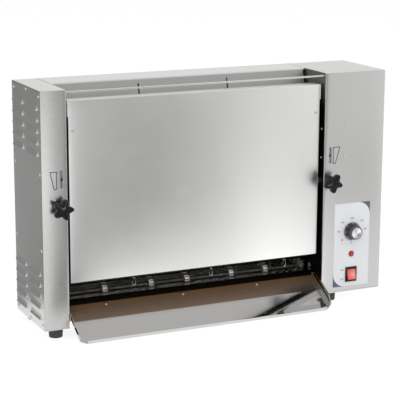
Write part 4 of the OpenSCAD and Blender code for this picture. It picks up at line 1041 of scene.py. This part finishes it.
class TOASTER_OT_wire_belt(Operator):
    """Woven wire belt, and the stripper wire with its fingers"""

    bl_idname = "toaster.wire_belt"
    bl_label = "Wire belt"

    def cross_wire(self, wheels, left, right, pitch):
        """One wire, flat: straight in the narrow lanes, zigzag in the wide ones, hooked to the next wire."""
        s = sizes()
        lift = 2 * s.wire + 0.0003
        beside, wide_lane, straight, steps = 0.0085, 0.086, 0.008, 8
        hook = [(0.0017, 0.0, 0.0), (0.0014, pitch * 0.55, lift), (0.0010, pitch + 0.0016, lift)]
        points = [(left, 0.0, 0.0)]
        for i, x in enumerate(wheels):
            last = i == len(wheels) - 1
            side = x - beside if last else x + beside
            points += [(side - across, ahead, up) for across, ahead, up in hook]
            points += [(side + across, ahead, up) for across, ahead, up in reversed(hook)]
            if i > 0 and not last and wheels[i + 1] - x > wide_lane:
                start, stop = side + straight, wheels[i + 1] - straight
                for k in range(steps + 1):
                    wave = 0.0 if k in (0, steps) else s.wave * (1 if k % 2 else -1)
                    lean = 0.45 if k % 2 else 0.0
                    points.append((start + (stop - start) * (k + lean) / steps, wave, 0.0))
        points.append((right, 0.0, 0.0))
        return bent_wire("belt_wire", points, s.wire, 0)

    def execute(self, context):
        s = sizes()
        low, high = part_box("conveyor_belt")
        lower, upper = middle("drive_shaft"), middle("idler_shaft")
        axis_y, z_low, z_high = lower.y, lower.z, upper.z
        radius = axis_y - low.y - 0.0009
        run = z_high - z_low
        loop = 2 * run + 2 * math.pi * radius
        wheels = sorted((min(p.x for p in w) + max(p.x for p in w)) / 2 for w in solids("drive_wheels"))
        master = self.cross_wire(wheels, low.x, high.x, loop / s.belt_wires)
        copies = []
        for i in range(s.belt_wires):
            place = (i + 0.5) * loop / s.belt_wires
            if place < run:
                at, along = (axis_y - radius, z_low + place), (0.0, 1.0)
            elif place < run + math.pi * radius:
                a = (place - run) / radius
                at = (axis_y - radius * math.cos(a), z_high + radius * math.sin(a))
                along = (math.sin(a), math.cos(a))
            elif place < 2 * run + math.pi * radius:
                at, along = (axis_y + radius, z_high - (place - run - math.pi * radius)), (0.0, -1.0)
            else:
                a = (place - 2 * run - math.pi * radius) / radius
                at = (axis_y + radius * math.cos(a), z_low - radius * math.sin(a))
                along = (-math.sin(a), -math.cos(a))
            across, ahead = Vector((1, 0, 0)), Vector((0, *along))
            turn = Matrix((across, ahead, across.cross(ahead))).transposed().to_4x4()
            copies.append(copy_of(master, Matrix.Translation((0, *at)) @ turn))
        bpy.data.objects.remove(master)
        dress(join("wire_belt", copies), "belt_steel", "frame", ["conveyor_belt"])

        low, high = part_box("stripper_wire")
        rod_r, finger_r, coil_r, arcs = (high.y - low.y) / 2, 0.0011, 0.0021, 24
        y, z, foot = (low.y + high.y) / 2, high.z - rod_r, low.z
        rod = bent_wire("stripper_rod", [(low.x, y, z), (high.x, y, z)], rod_r, 3)
        # Painted shade: the rod is painted near black, as it sits in shadow
        dress(done(rod), "dark_steel", "frame")
        fingers = []
        shape = [p for group in solids("stripper_wire") for p in group]
        tips = [p.x for p in shape if p.z < foot + 0.001]
        for place in sorted({round(x, 2) for x in tips}):
            group = [x for x in tips if abs(x - place) < 0.02]
            x = sum(group) / len(group)
            coil = []
            for k in range(arcs + 1):
                a = k / arcs * 4 * math.pi
                along = x - 0.004 + 0.005 * k / arcs
                coil.append((along, y - coil_r * math.cos(a), z + coil_r * math.sin(a)))
            hook = (
                (0.002, -0.0018, z - 0.003), (0.002, -0.0008, foot + 0.004), (0.0005, 0.0, foot + 0.001),
                (-0.003, 0.0, foot + 0.0008), (-0.0055, -0.0004, foot + 0.004), (-0.0055, -0.001, z - 0.005),
            )
            bends = [(x + across, y + back, height) for across, back, height in hook]
            fingers.append(bent_wire("finger", coil + bends, finger_r, 1))
        dress(join("stripper_fingers", fingers), "rod_steel", "frame", ["stripper_wire"])
        return {"FINISHED"}


class TOASTER_OT_release_sheet(Operator):
    """Coated cloth stretched over the heated plate, with faint ripples"""

    bl_idname = "toaster.release_sheet"
    bl_label = "Release sheet"

    def execute(self, context):
        low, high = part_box("release_sheet")
        mid, size = middle("release_sheet"), high - low
        cloth, ripples, sway = size.y / 2, 75, 2.2
        made = primitive(bpy.ops.mesh.primitive_grid_add, x_subdivisions=72, y_subdivisions=24, size=1.0)
        for v in made.data.vertices:
            across, up = v.co.x, v.co.y
            ripple = math.sin(across * ripples + sway * math.sin(up * 7)) * 0.5 + 0.5
            v.co = (mid.x + across * size.x, low.y + ripple * cloth, mid.z + up * size.z)
        wall = made.modifiers.new("cloth", "SOLIDIFY")
        wall.thickness = cloth
        wall.offset = -1.0
        bpy.ops.object.modifier_apply(modifier=wall.name)
        edit(made)
        bpy.ops.mesh.normals_make_consistent(inside=False)
        smooth(done(made), 50)
        dress(made, "release_cloth", "carriage", ["release_sheet"]).name = "release_cover"
        return {"FINISHED"}


class TOASTER_OT_feet_and_gland(Operator):
    """Rubber feet with eased rims, and the cable gland with its hexagon"""

    bl_idname = "toaster.feet_and_gland"
    bl_label = "Feet and gland"

    def execute(self, context):
        dress(softened("feet", "rubber_feet", 0.0012, 3), "foot_rubber", "frame", ["feet"])
        low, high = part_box("mains_gland")
        mid, radius = middle("mains_gland"), (high.x - low.x) / 2
        tube = softened("mains_gland", "gland_tube", 0.0006)
        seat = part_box("rear_cover")[1].y
        at = (mid.x, seat + 0.0031, mid.z)
        nut = done(cylinder(6, radius * 1.12, 0.0055, location=at, rotation=UPRIGHT))
        hole = done(cylinder(40, radius - 0.0012, 0.02, location=(mid.x, seat, mid.z), rotation=UPRIGHT))
        round_edges(cut(nut, hole), 0.0004)
        dress(join("gland", [tube, level_normals(nut)]), "black_matte", "frame", ["mains_gland"])
        return {"FINISHED"}


class TOASTER_OT_stage(Operator):
    """Pale floor, soft light and the camera"""

    bl_idname = "toaster.stage"
    bl_label = "Stage"

    # Each card's name, the stretch of the front faces that mirrors it, and its grey
    FRONT_CARDS = (
        ("card_edge", (-0.85, -0.55, 0.40, 0.95), 1.80),
        ("card_column", (-0.42, -0.305, 0.07, 1.5), 0.22),
        ("card_dark", (-0.30, -0.15, 0.20, 1.5), 0.24),
        ("card_grey", (-0.15, 0.07, 0.25, 1.5), 0.30),
        ("card_bright", (0.07, 0.236, 0.03, 0.65), 1.45),
        ("card_box", (0.232, 0.42, 0.25, 0.65), 0.33),
    )
    # Each card's name, corners and grey
    SIDE_CARDS = (
        ("card_left", ((-0.735, -0.075, 0), (-0.415, 0.245, 0), (-0.80, 2.1, 0), (-1.90, 1.0, 0)), 0.25),
        ("flag_left", ((-1.9, 1.0, 0), (0, 2.9, 0), (0, 2.9, 1.4), (-1.9, 1.0, 1.4)), 0.25),
        ("flag_sky", ((-1.0, -4.0, 0), (1.9, -4.0, 0), (1.9, -4.0, 1.5), (-1.0, -4.0, 1.5)), 0.35),
    )

    def card(self, name, corners, grey):
        """A studio card that only reflections see."""
        made = primitive(bpy.ops.mesh.primitive_plane_add, size=1.0)
        made.name = name
        for v, place in zip(made.data.vertices, (corners[0], corners[1], corners[3], corners[2])):
            v.co = place
        material = bpy.data.materials.new(name)
        tone = {"Color": (grey, grey, grey, 1.0), "Strength": 1.0}
        blank(material).add("ShaderNodeEmission", None, tone).show()
        made.data.materials.append(material)
        made.visible_camera = made.visible_diffuse = made.visible_shadow = made.visible_transmission = False

    def mirrored(self, left, right, near_reach, far_reach):
        """Floor corners of what the camera sees in a stretch of the front faces; reach grows with height."""
        return [
            (x + reach * (x - EYE[0]), FRONT - reach * (FRONT - EYE[1]), 0.0)
            for x, reach in ((left, near_reach), (right, near_reach), (right, far_reach), (left, far_reach))
        ]

    def seen(self, flow):
        """1 for what the camera sees, in metal and glass as well."""
        names = ("Is Camera Ray", "Is Glossy Ray", "Is Transmission Ray")
        plain, gloss, glass = (flow.add("ShaderNodeLightPath", out=name) for name in names)
        return flow.math("MAXIMUM", flow.math("MAXIMUM", plain, gloss), glass)

    def floor(self):
        made = done(primitive(bpy.ops.mesh.primitive_plane_add, size=16.0, location=(0, 0, -0.0004)))
        made.name = "studio_floor"
        material = bpy.data.materials.new("studio_floor")
        flow = blank(material)
        lit = flow.add("ShaderNodeBsdfDiffuse", None, {"Color": (0.30, 0.30, 0.30, 1.0)})
        glow = flow.add("ShaderNodeEmission", None, {"Color": (1.0, 1.0, 1.0, 1.0), "Strength": 0.83})
        both = flow.add("ShaderNodeAddShader", None, {0: lit, 1: glow})
        plain = flow.add("ShaderNodeBsdfDiffuse", None, {"Color": (0.80, 0.80, 0.80, 1.0)})
        flow.add("ShaderNodeMixShader", None, {0: self.seen(flow), 1: plain, 2: both}).show()
        made.data.materials.append(material)

    def world(self):
        world = bpy.data.worlds.new("studio")
        bpy.context.scene.world = world
        flow = blank(world)
        white = flow.add("ShaderNodeBackground", None, {"Color": (1.0, 1.0, 1.0, 1.0), "Strength": 1.0})
        soft = flow.add("ShaderNodeBackground", None, {"Color": (0.97, 0.985, 1.0, 1.0), "Strength": 0.55})
        flow.add("ShaderNodeMixShader", None, {0: self.seen(flow), 1: soft, 2: white}).show("World")

    def lamp(self, name, place, target, size, power, mirrored=False):
        """A square lamp, which metal mirrors only where that is asked for, so that sheet keeps its tone."""
        only()
        bpy.ops.object.light_add(type="AREA", location=place)
        made = bpy.context.object
        made.name = name
        made.data.shape = "SQUARE"
        made.data.size = size
        made.data.energy = power
        made.visible_glossy = mirrored
        made.rotation_mode = "QUATERNION"
        made.rotation_quaternion = (Vector(target) - Vector(place)).to_track_quat("-Z", "Y")
        return made

    def camera(self):
        azimuth, elevation, roll = -0.437428, 0.225013, -0.003736
        level = math.cos(elevation)
        ahead = Vector((-math.sin(azimuth) * level, math.cos(azimuth) * level, -math.sin(elevation)))
        right = ahead.cross(Vector((0, 0, 1))).normalized()
        down = ahead.cross(right)
        side = right * math.cos(roll) + down * math.sin(roll)
        up = right * math.sin(roll) - down * math.cos(roll)
        only()
        bpy.ops.object.camera_add(location=EYE)
        made = bpy.context.object
        made.rotation_mode = "QUATERNION"
        made.rotation_quaternion = Matrix((side, up, -ahead)).transposed().to_quaternion()
        made.data.sensor_width = 36.0
        made.data.lens = 129.083
        made.data.clip_start, made.data.clip_end = 0.05, 60.0
        bpy.context.scene.camera = made

    def execute(self, context):
        self.floor()
        self.world()
        for name, stretch, grey in self.FRONT_CARDS:
            self.card(name, self.mirrored(*stretch), grey)
        for name, corners, grey in self.SIDE_CARDS:
            self.card(name, corners, grey)
        target = (0, 0, 0.2)
        self.lamp("key", (-1.6, -2.2, 2.6), target, 3.8, 49.0)
        self.lamp("fill", (2.4, -1.6, 1.8), target, 2.8, 22.0)
        # A small lamp that only the black knobs and the dial mirror
        glint = self.lamp("glint", (0.06, -2.25, 0.55), target, 0.55, 20.0, True)
        knobs = bpy.data.collections.new("glossy_knobs")
        for name in ("left_star", "right_star", "dial_grip"):
            knobs.objects.link(bpy.data.objects[name])
        glint.light_linking.receiver_collection = knobs
        self.camera()
        bpy.context.scene.view_settings.view_transform = "Standard"
        return {"FINISHED"}


class TOASTER_PT_panel(Panel):
    """Sizes, colours and steps of the toaster"""

    bl_idname = "TOASTER_PT_panel"
    bl_label = "Vertical toaster"
    bl_space_type = "VIEW_3D"
    bl_region_type = "UI"
    bl_category = "Toaster"

    def draw(self, context):
        for group in (sizes(), colours()):
            column = self.layout.column(align=True)
            for name in group.__annotations__:
                column.prop(group, name)
        for step in STEPS:
            self.layout.operator(step.bl_idname)


STEPS = (
    TOASTER_OT_finishes,
    TOASTER_OT_sheet_metal,
    TOASTER_OT_screws,
    TOASTER_OT_star_knobs,
    TOASTER_OT_scales,
    TOASTER_OT_controls,
    TOASTER_OT_wire_belt,
    TOASTER_OT_release_sheet,
    TOASTER_OT_feet_and_gland,
    TOASTER_OT_stage,
)
CLASSES = (ToasterSizes, ToasterColours, *STEPS, TOASTER_PT_panel)


def register():
    for item in CLASSES:
        bpy.utils.register_class(item)
    bpy.types.Scene.toaster_sizes = PointerProperty(type=ToasterSizes)
    bpy.types.Scene.toaster_colours = PointerProperty(type=ToasterColours)


def unregister():
    del bpy.types.Scene.toaster_colours
    del bpy.types.Scene.toaster_sizes
    for item in reversed(CLASSES):
        bpy.utils.unregister_class(item)


def main():
    register()
    bpy.ops.toaster.finishes()
    bpy.ops.toaster.sheet_metal()
    bpy.ops.toaster.screws()
    bpy.ops.toaster.star_knobs()
    bpy.ops.toaster.scales()
    bpy.ops.toaster.controls()
    bpy.ops.toaster.wire_belt()
    bpy.ops.toaster.release_sheet()
    bpy.ops.toaster.feet_and_gland()
    bpy.ops.toaster.stage()


if __name__ == "__main__":
    main()
